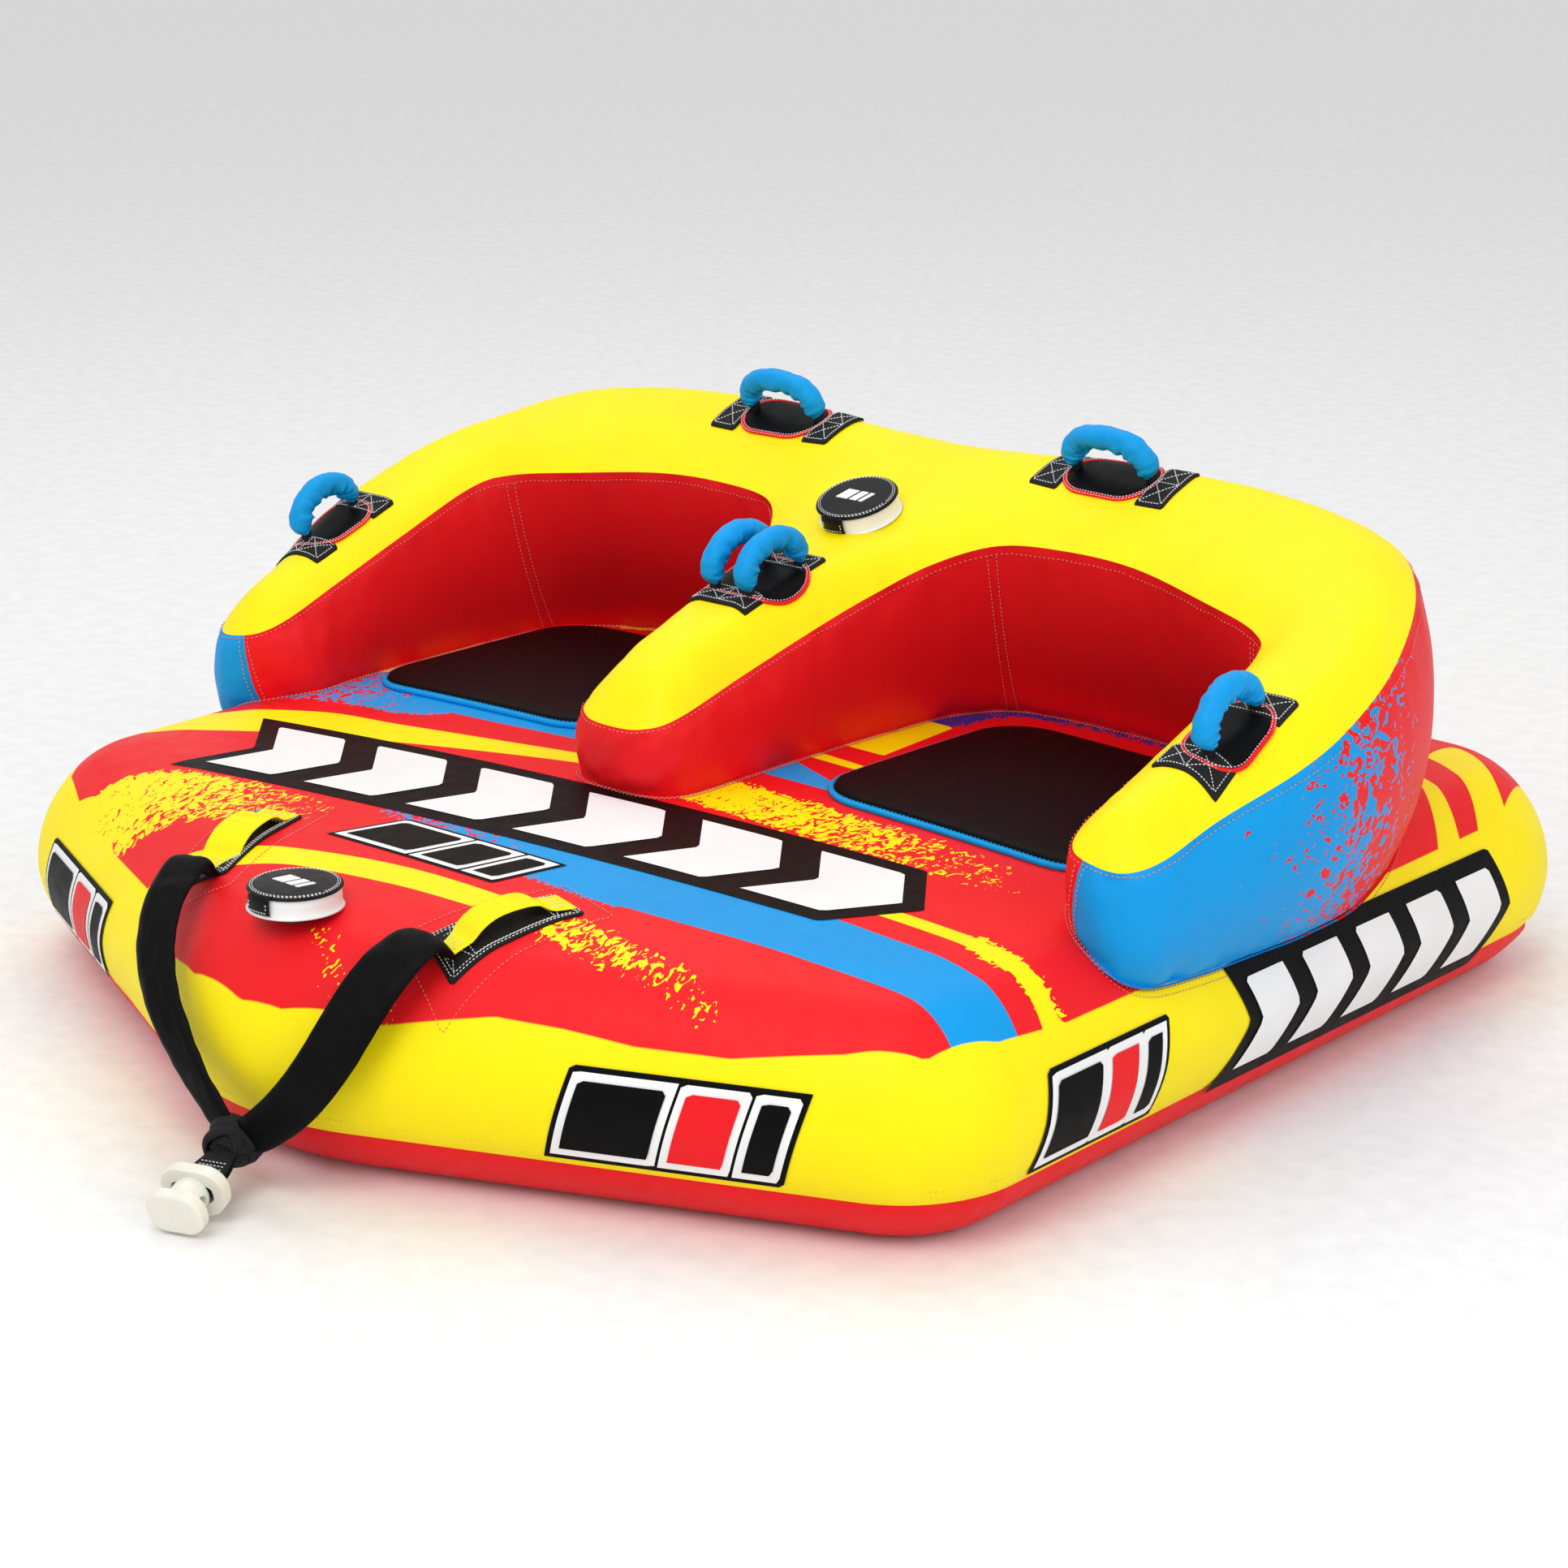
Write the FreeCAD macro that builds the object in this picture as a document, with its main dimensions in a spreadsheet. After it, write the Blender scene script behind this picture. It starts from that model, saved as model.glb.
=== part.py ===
"""Two-rider towable tube: pointed-nose base, W-shaped bolster, two seats, grips, valves and tow harness."""
import FreeCAD, Part
import Sketcher
import math
import os
from FreeCAD import Placement, Rotation, Vector

# Row frame, in millimetres: +Z up, the nose towards -Y, the origin at the middle of the bottom face.
SIZES = {
    # base
    "base_half_width": 790, "base_rear": 822, "shoulder_back": -514, "nose_apex": -855,
    "nose_radius": 369, "shoulder_radius": 180, "stern_radius": 188,
    "deck_height": 288, "seam_height": 66, "deck_round": 105, "keel_round": 60,
    # how far the slanted front corners move for each millimetre that the outline shrinks
    "apex_shift": 1.089, "shoulder_shift": 0.658,
    # bolster plan
    "bolster_half_width": 800, "arm_inner": 660, "arm_nose": -188, "arm_bevel_width": 30,
    "arm_bevel_back": 84,
    "centre_half_width": 86, "centre_nose": -200, "cockpit_back": 314, "seat_back_foot": 429,
    "bolster_rear_corner": 535, "lobe_across": 360, "lobe_rear": 556, "dip_rear": 512,
    "arm_tip_radius": 55, "bevel_radius": 30, "bevel_foot_radius": 40, "centre_tip_radius": 50,
    "cockpit_inner_radius": 90, "cockpit_outer_radius": 110, "rear_corner_radius": 250,
    "lobe_radius": 800, "dip_radius": 600,
    # bolster height: the top climbs to a crest near the back and rolls off behind it
    "top_at_middle": 468, "top_slope": 0.36, "slope_shift": 1.063, "crest": 476, "crest_fall": 0.35,
    "bolster_ceiling": 720,
    "undercut_top": 565, "undercut_reach": 60, "undercut_inner": 106, "undercut_outer": 640,
    # the raised crown of the centre arm
    "crown_half_width": 70, "crown_front": -170, "crown_front_height": 415, "crown_rise_back": -110,
    "crown_rise_height": 472, "crown_flat_front": -20, "crown_flat_height": 497, "crown_back": 260,
    "crown_back_height": 553, "crown_foot": 360,
    # cloth and bladders
    "cloth": 1.5, "slack": 0.5, "film": 0.5, "lip": 26,
    # seams between the bolster's wall panels
    "arm_seam": 690, "back_seam_outer": 627, "back_seam_inner": 184, "back_seam_front": 300,
    "back_panel_rear": 470,
    # seat pads
    "seat_inner": 184, "seat_outer": 617, "seat_front": -57, "seat_rear": 345,
    "seat_radius": 75, "seat_thick": 12, "piping": 6,
    # grips
    "tube_radius": 15.5, "tube_end_radius": 7, "arch_height": 58, "arch_radius": 32, "tube_start": 9,
    "webbing_width": 12, "webbing_thick": 3, "webbing_play": 0.4, "hinge_height": 9.5,
    "strip_length": 88, "strip_width": 43, "strip_thick": 2, "strip_lift": 3,
    "pad_thick": 2, "binding_width": 6, "binding_thick": 3,
    # where the grips stand, how far their strips are from the middle, and the pads under them
    "arm_grip_across": 752, "arm_grip_along": 11, "arm_strip_at": 59, "arm_chord": 92,
    "arm_pad_width": 78, "arm_pad_length": 112, "arm_pad_radius": 34,
    "centre_grip_across": 28, "centre_grip_along": 57, "centre_strip_at": 57.5, "centre_chord": 98,
    "centre_strip_length": 96, "centre_pad_width": 126, "centre_pad_length": 104, "centre_pad_radius": 48,
    "rear_grip_across": 277, "rear_grip_along": 428, "rear_strip_at": 83, "rear_chord": 116,
    "rear_pad_width": 78, "rear_pad_length": 130, "rear_pad_radius": 36,
    # valves
    "base_valve_along": -719, "bolster_valve_along": 258,
    "collar_radius": 52, "collar_wall": 2, "collar_height": 22, "lid_thick": 2, "lid_gap": 0.4,
    "flap_width": 34, "flap_drop": 18, "valve_flange_radius": 30, "valve_flange": 3,
    "valve_neck_radius": 22, "valve_neck_top": 10, "valve_neck_depth": 14, "valve_bore_radius": 11,
    "cap_notches": 12, "hole_reach": 30, "cap_radius": 20, "cap_thick": 7, "cap_notch_radius": 2,
    "plug_radius": 10.94, "plug_depth": 9,
    "valve_hole_radius": 22.5,
    # tow harness
    "patch_across": 221.5, "patch_along": -611, "patch_turn": 16.2, "patch_corner": 4,
    "patch_width": 68, "patch_length": 168, "patch_thick": 3,
    "loop_width": 42, "loop_thick": 3, "loop_rise": 14, "loop_margin": 6, "loop_foot": 52, "loop_brow": 34,
    "loop_bend": 5, "spool_heading": 19.6, "spool_pitch": 14, "spool_reach": 86,
    "sleeve_width": 58, "sleeve_thick": 9, "sleeve_taper": 0.35, "sleeve_turn": 1.4,
    "tail_width": 46, "tail_thick": 7, "tail_wall": 3, "tail_hidden": 16,
    "knot_half_height": 25, "knot_half_width": 34, "knot_half_depth": 27,
    "wrap_radius": 20, "wrap_thick": 11, "wrap_lean": 78,
    "spool_flange_width": 78, "spool_flange_height": 56, "spool_flange_radius": 26, "spool_flange": 18,
    "spool_front_width": 70, "spool_front_height": 50, "spool_front_radius": 23, "spool_front": 14,
    "spool_hub_radius": 21, "spool_groove": 28, "spool_eye_radius": 8, "spool_pocket_width": 52,
    "spool_pocket_height": 22, "spool_pocket_radius": 8,
    "spool_bar_radius": 4.5, "spool_bar_play": 0.4, "spool_edge": 4,
    # zipper across the stern
    "zip_length": 700, "zip_width": 34, "zip_tape": 1.2, "zip_chain_width": 5, "zip_chain": 2.2,
    "slider_length": 14, "slider_width": 11, "slider_height": 6, "slider_play": 0.3,
    "pull_length": 28, "pull_width": 8, "pull_thick": 1.6,
    "pin_radius": 1, "barrel_radius": 2.2, "barrel_bore": 1.3, "ear_thick": 1.2,
    "ear_height": 4, "ear_play": 0.6,
}
SKY = 1000.0

doc = FreeCAD.newDocument("TowableTube")
sheet = doc.addObject("Spreadsheet::Sheet", "Sizes")
for row, (alias, value) in enumerate(SIZES.items(), 1):
    sheet.set(f"A{row}", alias)
    sheet.set(f"B{row}", str(value))
    sheet.setAlias(f"B{row}", alias)
doc.recompute()


class Term:
    """A length made from the sheet's cells: its number now, and the expression that binds it."""

    def __init__(self, text, value):
        self.text = text
        self.value = value

    def joined(self, other, sign, value_of):
        other = term(other)
        return Term(f"({self.text} {sign} {other.text})", value_of(self.value, other.value))

    def __add__(self, other):
        return self.joined(other, "+", lambda a, b: a + b)

    def __sub__(self, other):
        return self.joined(other, "-", lambda a, b: a - b)

    def __mul__(self, other):
        return self.joined(other, "*", lambda a, b: a * b)

    def __neg__(self):
        return Term(f"(0 - {self.text})", -self.value)


def term(value):
    return value if isinstance(value, Term) else Term(repr(value), value)


def cell(alias):
    return Term(f"Sizes.{alias}", float(sheet.get(alias)))


def bind(obj, prop, length):
    """Bind one property of an object to a length from the sheet."""
    length = term(length)
    obj.setExpression(prop, length.text)


# ---------------------------------------------------------------- building blocks

def new_body(label):
    body = doc.addObject("PartDesign::Body", label)
    body.Label = label
    return body


def sketch_on(body, name, role, lift=0.0):
    """An empty sketch on one of the body's own origin planes, lifted along the plane's normal."""
    plane = next(f for f in body.Origin.OriginFeatures if f.Role == role)
    sketch = body.newObject("Sketcher::SketchObject", name)
    sketch.AttachmentSupport = (plane, "")
    sketch.MapMode = "FlatFace"
    bind(sketch, "AttachmentOffset.Base.z", lift)
    return sketch


def fix_length(sketch, constraint, length):
    index = sketch.addConstraint(constraint)
    sketch.setExpression(f"Constraints[{index}]", length.text)


def pin_point(sketch, geo, pos, across, along):
    """Hold one point at a signed distance from the sketch's origin in both directions."""
    for kind, length, axis in (("DistanceX", term(across), -2), ("DistanceY", term(along), -1)):
        if abs(length.value) < 1e-9:
            sketch.addConstraint(Sketcher.Constraint("PointOnObject", geo, pos, axis))
        else:
            fix_length(sketch, Sketcher.Constraint(kind, -1, 1, geo, pos, length.value), length)


def add_run(sketch, corners, closed):
    """Straight runs between corners, each corner rounded by its own radius (0 keeps it sharp)."""
    corners = [tuple(term(v) for v in corner) for corner in corners]
    points = [Vector(x.value, y.value, 0) for x, y, radius in corners]
    count = len(points)
    starts, ends, arcs = {}, {}, {}
    for i, (x, y, radius) in enumerate(corners):
        if not closed and i in (0, count - 1) or radius.value == 0:
            starts[i] = ends[i] = points[i]
            continue
        back = (points[i - 1] - points[i]).normalize()
        ahead = (points[(i + 1) % count] - points[i]).normalize()
        half = back.getAngle(ahead) / 2
        reach = radius.value / math.tan(half)
        ends[i] = points[i] + back * reach
        starts[i] = points[i] + ahead * reach
        centre = points[i] + (back + ahead).normalize() * (radius.value / math.sin(half))
        turn_left = back.cross(ahead).z < 0
        arcs[i] = (centre, radius, turn_left)
    lines = {}
    for i in range(count if closed else count - 1):
        lines[i] = sketch.addGeometry(Part.LineSegment(starts[i], ends[(i + 1) % count]))
    for i, (centre, radius, turn_left) in arcs.items():
        first, last = (ends[i], starts[i]) if turn_left else (starts[i], ends[i])
        angles = [math.atan2(p.y - centre.y, p.x - centre.x) for p in (first, last)]
        circle = Part.Circle(centre, Vector(0, 0, 1), radius.value)
        arc = sketch.addGeometry(Part.ArcOfCircle(circle, *angles))
        corner = sketch.addGeometry(Part.Point(points[i]), True)
        into, out = (1, 2) if turn_left else (2, 1)
        before, after = lines[(i - 1) % count], lines[i]
        sketch.addConstraint(Sketcher.Constraint("Tangent", before, 2, arc, into))
        sketch.addConstraint(Sketcher.Constraint("Tangent", arc, out, after, 1))
        sketch.addConstraint(Sketcher.Constraint("PointOnObject", corner, 1, before))
        sketch.addConstraint(Sketcher.Constraint("PointOnObject", corner, 1, after))
        pin_point(sketch, corner, 1, corners[i][0], corners[i][1])
        fix_length(sketch, Sketcher.Constraint("Radius", arc, radius.value), radius)
    for i, (x, y, radius) in enumerate(corners):
        if i in arcs:
            continue
        if i in lines:
            pin_point(sketch, lines[i], 1, x, y)
            if (i - 1) % count in lines:
                joined = Sketcher.Constraint("Coincident", lines[(i - 1) % count], 2, lines[i], 1)
                sketch.addConstraint(joined)
        else:
            pin_point(sketch, lines[i - 1], 2, x, y)
    return sketch


def outline(body, name, role, corners, lift=0.0):
    return add_run(sketch_on(body, name, role, lift), corners, closed=True)


def add_circle(sketch, across, along, radius):
    radius = term(radius)
    circle = Part.Circle(Vector(term(across).value, term(along).value, 0), Vector(0, 0, 1), radius.value)
    geo = sketch.addGeometry(circle)
    pin_point(sketch, geo, 3, across, along)
    fix_length(sketch, Sketcher.Constraint("Radius", geo, radius.value), radius)
    return sketch


def rectangle(x0, x1, y0, y1, radius=0.0):
    return [(x1, y0, radius), (x1, y1, radius), (x0, y1, radius), (x0, y0, radius)]


def pad(body, sketch, length, midplane=False, name="Pad"):
    feature = body.newObject("PartDesign::Pad", name)
    feature.Profile = sketch
    bind(feature, "Length", length)
    feature.Midplane = midplane
    return feature


def pocket(body, sketch, length, midplane=False, name="Pocket"):
    """A cut that has to take something away, whichever way the sketch faces."""
    doc.recompute()
    before = body.Shape.Volume
    feature = body.newObject("PartDesign::Pocket", name)
    feature.Profile = sketch
    bind(feature, "Length", length)
    feature.Midplane = midplane
    doc.recompute()
    if feature.Shape.isNull() or feature.Shape.Volume > before - 1e-6:
        feature.Reversed = True
        doc.recompute()
    if feature.Shape.Volume > before - 1e-6:
        raise RuntimeError(f"{body.Label}: the cut {name} takes nothing away")
    return feature


def round_faces(body, base, radius, picks, name="Round"):
    """Round every edge of the base feature's faces that picks accepts."""
    doc.recompute()
    names = [f"Face{i}" for i, face in enumerate(base.Shape.Faces, 1) if picks(face)]
    feature = body.newObject("PartDesign::Fillet", name)
    feature.Base = (base, names)
    bind(feature, "Radius", radius)
    return feature


def face_at(height):
    """Accept a horizontal face at one height."""
    def accepts(face):
        box = face.BoundBox
        return box.ZLength < 1e-6 and abs(box.ZMin - term(height).value) < 1e-6
    return accepts


def box_region(name, x0, x1, y0, y1, z0, z1):
    """A plain block that picks out a part of the cloth."""
    block = doc.addObject("Part::Box", name)
    bind(block, "Length", term(x1) - x0)
    bind(block, "Width", term(y1) - y0)
    bind(block, "Height", term(z1) - z0)
    for axis, low in zip("xyz", (x0, y0, z0)):
        bind(block, f"Placement.Base.{axis}", low)
    return block


def boolean(kind, label, base, tool):
    result = doc.addObject(f"Part::{kind}", label)
    result.Label = label
    result.Base = base
    result.Tool = tool
    return result


def peg(name, radius, low, high, place):
    """A round cutter standing on a placement."""
    cylinder = doc.addObject("Part::Cylinder", name)
    bind(cylinder, "Radius", radius)
    bind(cylinder, "Height", term(high) - low)
    cylinder.Placement = place * Placement(Vector(0, 0, term(low).value), Rotation())
    return cylinder


def lathe(body, name, profile):
    """Turn a closed outline, drawn as (radius, height), about the vertical axis."""
    sketch = outline(body, name + "Profile", "XZ_Plane", [(r, h, 0.0) for r, h in profile])
    turned = body.newObject("PartDesign::Revolution", name)
    turned.Profile = sketch
    turned.ReferenceAxis = (sketch, ["V_Axis"])
    turned.Angle = 360.0
    return turned


# ---------------------------------------------------------------- the two inflated shapes

def base_form(label, inset):
    """The base as a solid block with rounded edges, smaller by an inset all over."""
    body = new_body(label)
    side = cell("base_half_width") - inset
    shoulder = cell("shoulder_back") + inset * cell("shoulder_shift")
    apex = cell("nose_apex") + inset * cell("apex_shift")
    rear = cell("base_rear") - inset
    plan = outline(body, label + "Plan", "XY_Plane", [
        (0.0, apex, cell("nose_radius") - inset),
        (side, shoulder, cell("shoulder_radius") - inset),
        (side, rear, cell("stern_radius") - inset),
        (-side, rear, cell("stern_radius") - inset),
        (-side, shoulder, cell("shoulder_radius") - inset),
    ], lift=inset)
    block = pad(body, plan, cell("deck_height") - inset * 2)
    top = cell("deck_height") - inset
    upper = round_faces(body, block, cell("deck_round") - inset, face_at(top), label + "DeckRound")
    round_faces(body, upper, cell("keel_round") - inset, face_at(inset), label + "KeelRound")
    return body


def slope_side(body, label, drop):
    """The region over the bolster's top, seen from the side: a long slope that rolls off at the rear."""
    reach = 700.0
    crest_y = cell("crest")
    roll_off = cell("crest_fall")
    front = cell("top_at_middle") - cell("top_slope") * reach - drop
    crest = cell("top_at_middle") + cell("top_slope") * crest_y - drop
    rear = crest - roll_off * (reach - crest_y.value)
    return outline(body, label, "YZ_Plane", [
        (-reach, front, 0.0), (crest_y, crest, 0.0), (reach, rear, 0.0),
        (reach, SKY, 0.0), (-reach, SKY, 0.0)])


def bolster_form(label, inset, open_foot=False):
    """The W-shaped bolster as a solid block, smaller by an inset all over, or all but its foot."""
    body = new_body(label)
    outer = cell("bolster_half_width") - inset
    inner = cell("arm_inner") + inset
    nose = cell("arm_nose") + inset
    centre = cell("centre_half_width") - inset
    back = cell("cockpit_back") + inset
    bevel = cell("arm_nose") + cell("arm_bevel_back") + inset
    right = [
        (centre, cell("centre_nose") + inset, cell("centre_tip_radius") - inset),
        (centre, back, cell("cockpit_inner_radius") + inset),
        (inner, back, cell("cockpit_outer_radius") + inset),
        (inner, bevel, cell("bevel_foot_radius")),
        (inner + cell("arm_bevel_width"), nose, cell("bevel_radius")),
        (outer, nose, cell("arm_tip_radius") - inset),
        (outer, cell("bolster_rear_corner") - inset, cell("rear_corner_radius") - inset),
        (cell("lobe_across"), cell("lobe_rear") - inset, cell("lobe_radius")),
    ]
    dip = [(0.0, cell("dip_rear") - inset, cell("dip_radius"))]
    left = [(-x, y, radius) for x, y, radius in reversed(right)]
    foot = cell("deck_height") + (-1.0 if open_foot else inset)
    plan = outline(body, label + "Plan", "XY_Plane", right + dip + left, lift=foot)
    pad(body, plan, cell("bolster_ceiling") - foot)

    above = slope_side(body, label + "Above", inset * cell("slope_shift"))
    pocket(body, above, SKY * 2.0, midplane=True, name=label + "Slope")

    below = 30.0
    cockpit = cell("cockpit_back") - cell("undercut_reach")
    under = [
        (cockpit, cell("deck_height") - below, 0.0),
        (cell("seat_back_foot") + inset, cell("deck_height") - below, 0.0),
        (cell("seat_back_foot") + inset, cell("deck_height"), 0.0),
        (back, cell("undercut_top"), 0.0),
        (cockpit, cell("undercut_top"), 0.0),
    ]
    near, far = cell("undercut_inner") - inset, cell("undercut_outer") + inset
    span = far - near
    for side, start in (("Right", near), ("Left", -far)):
        wedge = outline(body, f"{label}Under{side}", "YZ_Plane", under, lift=start)
        cut = pocket(body, wedge, span, name=f"{label}Undercut{side}")
        cut.Reversed = True
        doc.recompute()

    crown = outline(body, label + "CrownSide", "YZ_Plane", [
        (cell("crown_front") + inset, cell("crown_foot"), 0.0),
        (cell("crown_back"), cell("crown_foot"), 0.0),
        (cell("crown_back"), cell("crown_back_height") - inset, 0.0),
        (cell("crown_flat_front"), cell("crown_flat_height") - inset, 0.0),
        (cell("crown_rise_back"), cell("crown_rise_height") - inset, 0.0),
        (cell("crown_front") + inset, cell("crown_front_height") - inset, 0.0),
    ])
    pad(body, crown, (cell("crown_half_width") - inset) * 2.0, midplane=True, name=label + "Crown")
    return body


NODES = []


def keep(node):
    """Put an object on the list of pieces that are written out."""
    NODES.append(node)
    return node


def holed(label, base, cutters):
    """The base object with round holes through it."""
    for i, cutter in enumerate(cutters, 1):
        last = i == len(cutters)
        base = boolean("Cut", label if last else f"{label}Step{i}", base, cutter)
    return base


def skin_of(label, form, outer, inner, **shape):
    """The layer of a form between two insets."""
    return boolean("Cut", label, form(label + "Outside", term(outer)),
                   form(label + "Inside", term(inner), **shape))


# ---------------------------------------------------------------- places on the sloping top

SLOPE = math.degrees(math.atan(cell("top_slope").value))
CROWN_RISE = cell("crown_back_height") - cell("crown_flat_height")
CROWN_RUN = cell("crown_back") - cell("crown_flat_front")
CROWN_SLOPE = CROWN_RISE.value / CROWN_RUN.value


def on_slope(x, y):
    height = cell("top_at_middle").value + cell("top_slope").value * y
    return Placement(Vector(x, y, height), Rotation(Vector(1, 0, 0), SLOPE))


def on_crown(x, y):
    height = cell("crown_flat_height").value + CROWN_SLOPE * (y - cell("crown_flat_front").value)
    return Placement(Vector(x, y, height), Rotation(Vector(1, 0, 0), math.degrees(math.atan(CROWN_SLOPE))))


def on_deck(x, y, turn=0.0):
    return Placement(Vector(x, y, cell("deck_height").value), Rotation(Vector(0, 0, 1), turn))


# ---------------------------------------------------------------- grips and their fixings

def grip(name, place, chord):
    """A foam tube bent into an arch over a webbing core; the arch stands over the surface."""
    top = cell("arch_height")
    half = chord * 0.5
    bend = cell("arch_radius")

    def arch(body, label, foot):
        path = sketch_on(body, label, "YZ_Plane")
        turns = [(-half, foot, 0.0), (-half, top, bend), (half, top, bend), (half, foot, 0.0)]
        return add_run(path, turns, False)

    def sweep(body, kind, label, section, path):
        doc.recompute()
        pipe = body.newObject(f"PartDesign::{kind}", label)
        pipe.Profile = section
        pipe.Spine = (path, [f"Edge{i + 1}" for i in range(len(path.Shape.Edges))])
        return pipe

    foot = cell("hinge_height") + cell("tube_start")
    tube = new_body(f"grip_{name}")
    path = arch(tube, f"TubePath_{name}", foot)
    tube_end = sketch_on(tube, f"TubeSection_{name}", "XY_Plane", foot)
    section = add_circle(tube_end, 0.0, -half, cell("tube_radius"))
    swept = sweep(tube, "AdditivePipe", f"Tube_{name}", section, path)
    rounded = round_faces(tube, swept, cell("tube_end_radius"), face_at(foot), f"TubeEnds_{name}")
    wide = cell("webbing_width") * 0.5
    thin = cell("webbing_thick") * 0.5
    play = cell("webbing_play")
    slot = outline(tube, f"SlotSection_{name}", "XY_Plane", rectangle(
        -wide - play, wide + play, -half - thin - play, thin + play - half), lift=foot)
    slot_path = arch(tube, f"SlotPath_{name}", foot)
    sweep(tube, "SubtractivePipe", f"Slot_{name}", slot, slot_path)
    doc.recompute()
    if tube.Shape.Volume > rounded.Shape.Volume - 1.0:
        raise RuntimeError(f"{tube.Label}: the webbing slot takes nothing away")

    core = new_body(f"grip_webbing_{name}")
    core_path = arch(core, f"CorePath_{name}", cell("hinge_height"))
    strap = outline(core, f"CoreSection_{name}", "XY_Plane", rectangle(
        -wide, wide, -half - thin, thin - half), lift=cell("hinge_height"))
    sweep(core, "AdditivePipe", f"Core_{name}", strap, core_path)
    for body in (tube, core):
        body.Placement = place
        keep(body)


def strips(name, place, offset, length):
    """The two webbing strips sewn across a grip's ends, as one node."""
    pair = []
    low = cell("strip_lift")
    for side in (-1, 1):
        strip = doc.addObject("Part::Box", f"Strip_{name}_{'front' if side < 0 else 'back'}")
        bind(strip, "Length", length)
        bind(strip, "Width", cell("strip_width"))
        bind(strip, "Height", cell("strip_thick"))
        corner = Vector(-term(length).value / 2, side * offset - cell("strip_width").value / 2, low.value)
        strip.Placement = place * Placement(corner, Rotation())
        pair.append(strip)
    both = doc.addObject("Part::MultiFuse", f"grip_strips_{name}")
    both.Label = f"grip_strips_{name}"
    both.Shapes = pair
    keep(both)


def knuckle_pad(name, place, width, length, radius):
    """A thin pad under the grip."""
    half_x, half_y = width * 0.5, length * 0.5
    body = new_body(f"knuckle_pad_{name}")
    plan = rectangle(-half_x, half_x, -half_y, half_y, radius)
    pad(body, outline(body, f"PadPlan_{name}", "XY_Plane", plan), cell("pad_thick"))
    body.Placement = place
    return body


def binding(name, place, width, length, radius):
    """The bound edge sewn round a knuckle pad."""
    half_x, half_y, edge = width * 0.5, length * 0.5, cell("binding_width")
    ring = new_body(f"pad_binding_{name}")
    rim = outline(ring, f"BindingPlan_{name}", "XY_Plane", rectangle(
        -half_x - edge, half_x + edge, -half_y - edge, half_y + edge, edge + radius))
    add_run(rim, rectangle(-half_x, half_x, -half_y, half_y, radius), closed=True)
    pad(ring, rim, cell("binding_thick"))
    ring.Placement = place
    return ring


# ---------------------------------------------------------------- valves

def valve(name, place):
    """An air valve with its screw cap, inside a round cloth cover with a hinged lid."""
    collar = new_body(f"valve_cover_{name}")
    ring = sketch_on(collar, f"CollarPlan_{name}", "XY_Plane")
    add_circle(ring, 0.0, 0.0, cell("collar_radius"))
    add_circle(ring, 0.0, 0.0, cell("collar_radius") - cell("collar_wall"))
    pad(collar, ring, cell("collar_height"))

    lid = new_body(f"valve_lid_{name}")
    low = cell("collar_height") + cell("lid_gap")
    rim = cell("collar_radius") + cell("collar_wall")
    disc = add_circle(sketch_on(lid, f"LidPlan_{name}", "XY_Plane", low), 0.0, 0.0, rim)
    pad(lid, disc, cell("lid_thick"))
    half = cell("flap_width") * 0.5
    tab = outline(lid, f"TabPlan_{name}", "XY_Plane", rectangle(
        -half, half, -rim, -cell("collar_radius") * 0.5), lift=low)
    pad(lid, tab, cell("lid_thick"))
    flap = outline(lid, f"FlapPlan_{name}", "XY_Plane", rectangle(
        -half, half, -rim, -cell("collar_radius") - cell("lid_gap")), lift=low - cell("flap_drop"))
    pad(lid, flap, cell("flap_drop") + cell("lid_thick"))

    bore, neck = cell("valve_bore_radius"), cell("valve_neck_radius")
    neck_top, depth = cell("valve_neck_top"), -cell("valve_neck_depth")
    stem = new_body(f"valve_body_{name}")
    lathe(stem, f"Stem_{name}", [
        (bore, depth), (neck, depth), (neck, term(0.0)), (cell("valve_flange_radius"), term(0.0)),
        (cell("valve_flange_radius"), cell("valve_flange")), (neck, cell("valve_flange")),
        (neck, neck_top), (bore, neck_top)])

    cap = new_body(f"valve_cap_{name}")
    seat = neck_top + cell("lid_gap")
    plug = cell("plug_radius")
    lathe(cap, f"Cap_{name}", [
        (term(0.0), neck_top - cell("plug_depth")), (plug, neck_top - cell("plug_depth")), (plug, seat),
        (cell("cap_radius"), seat), (cell("cap_radius"), seat + cell("cap_thick")),
        (term(0.0), seat + cell("cap_thick"))])
    notch_plan = add_circle(sketch_on(cap, f"NotchPlan_{name}", "XY_Plane", seat + cell("cap_thick")),
                            cell("cap_radius"), 0.0, cell("cap_notch_radius"))
    notch = pocket(cap, notch_plan, cell("cap_thick"), name=f"Notch_{name}")
    ring_of_notches = cap.newObject("PartDesign::PolarPattern", f"Notches_{name}")
    ring_of_notches.Originals = [notch]
    ring_of_notches.Axis = (notch_plan, ["N_Axis"])
    ring_of_notches.Angle = 360.0
    bind(ring_of_notches, "Occurrences", cell("cap_notches"))
    cap.Tip = ring_of_notches

    for body in (collar, lid, stem, cap):
        body.Placement = place
        keep(body)
    reach = cell("hole_reach")
    return peg(f"ValveHole_{name}", cell("valve_hole_radius"), -reach, reach, place)


VALVES = {
    "base": on_deck(0.0, cell("base_valve_along").value),
    "bolster": on_slope(0.0, cell("bolster_valve_along").value),
}
HOLES = {name: valve(name, place) for name, place in VALVES.items()}


# ---------------------------------------------------------------- cloth covers and bladders

CLOTH = cell("cloth")
BLADDER = CLOTH + cell("slack")
BLADDER_INSIDE = BLADDER + cell("film")
SEAM = cell("seam_height")
WIDE = 1000.0

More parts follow.
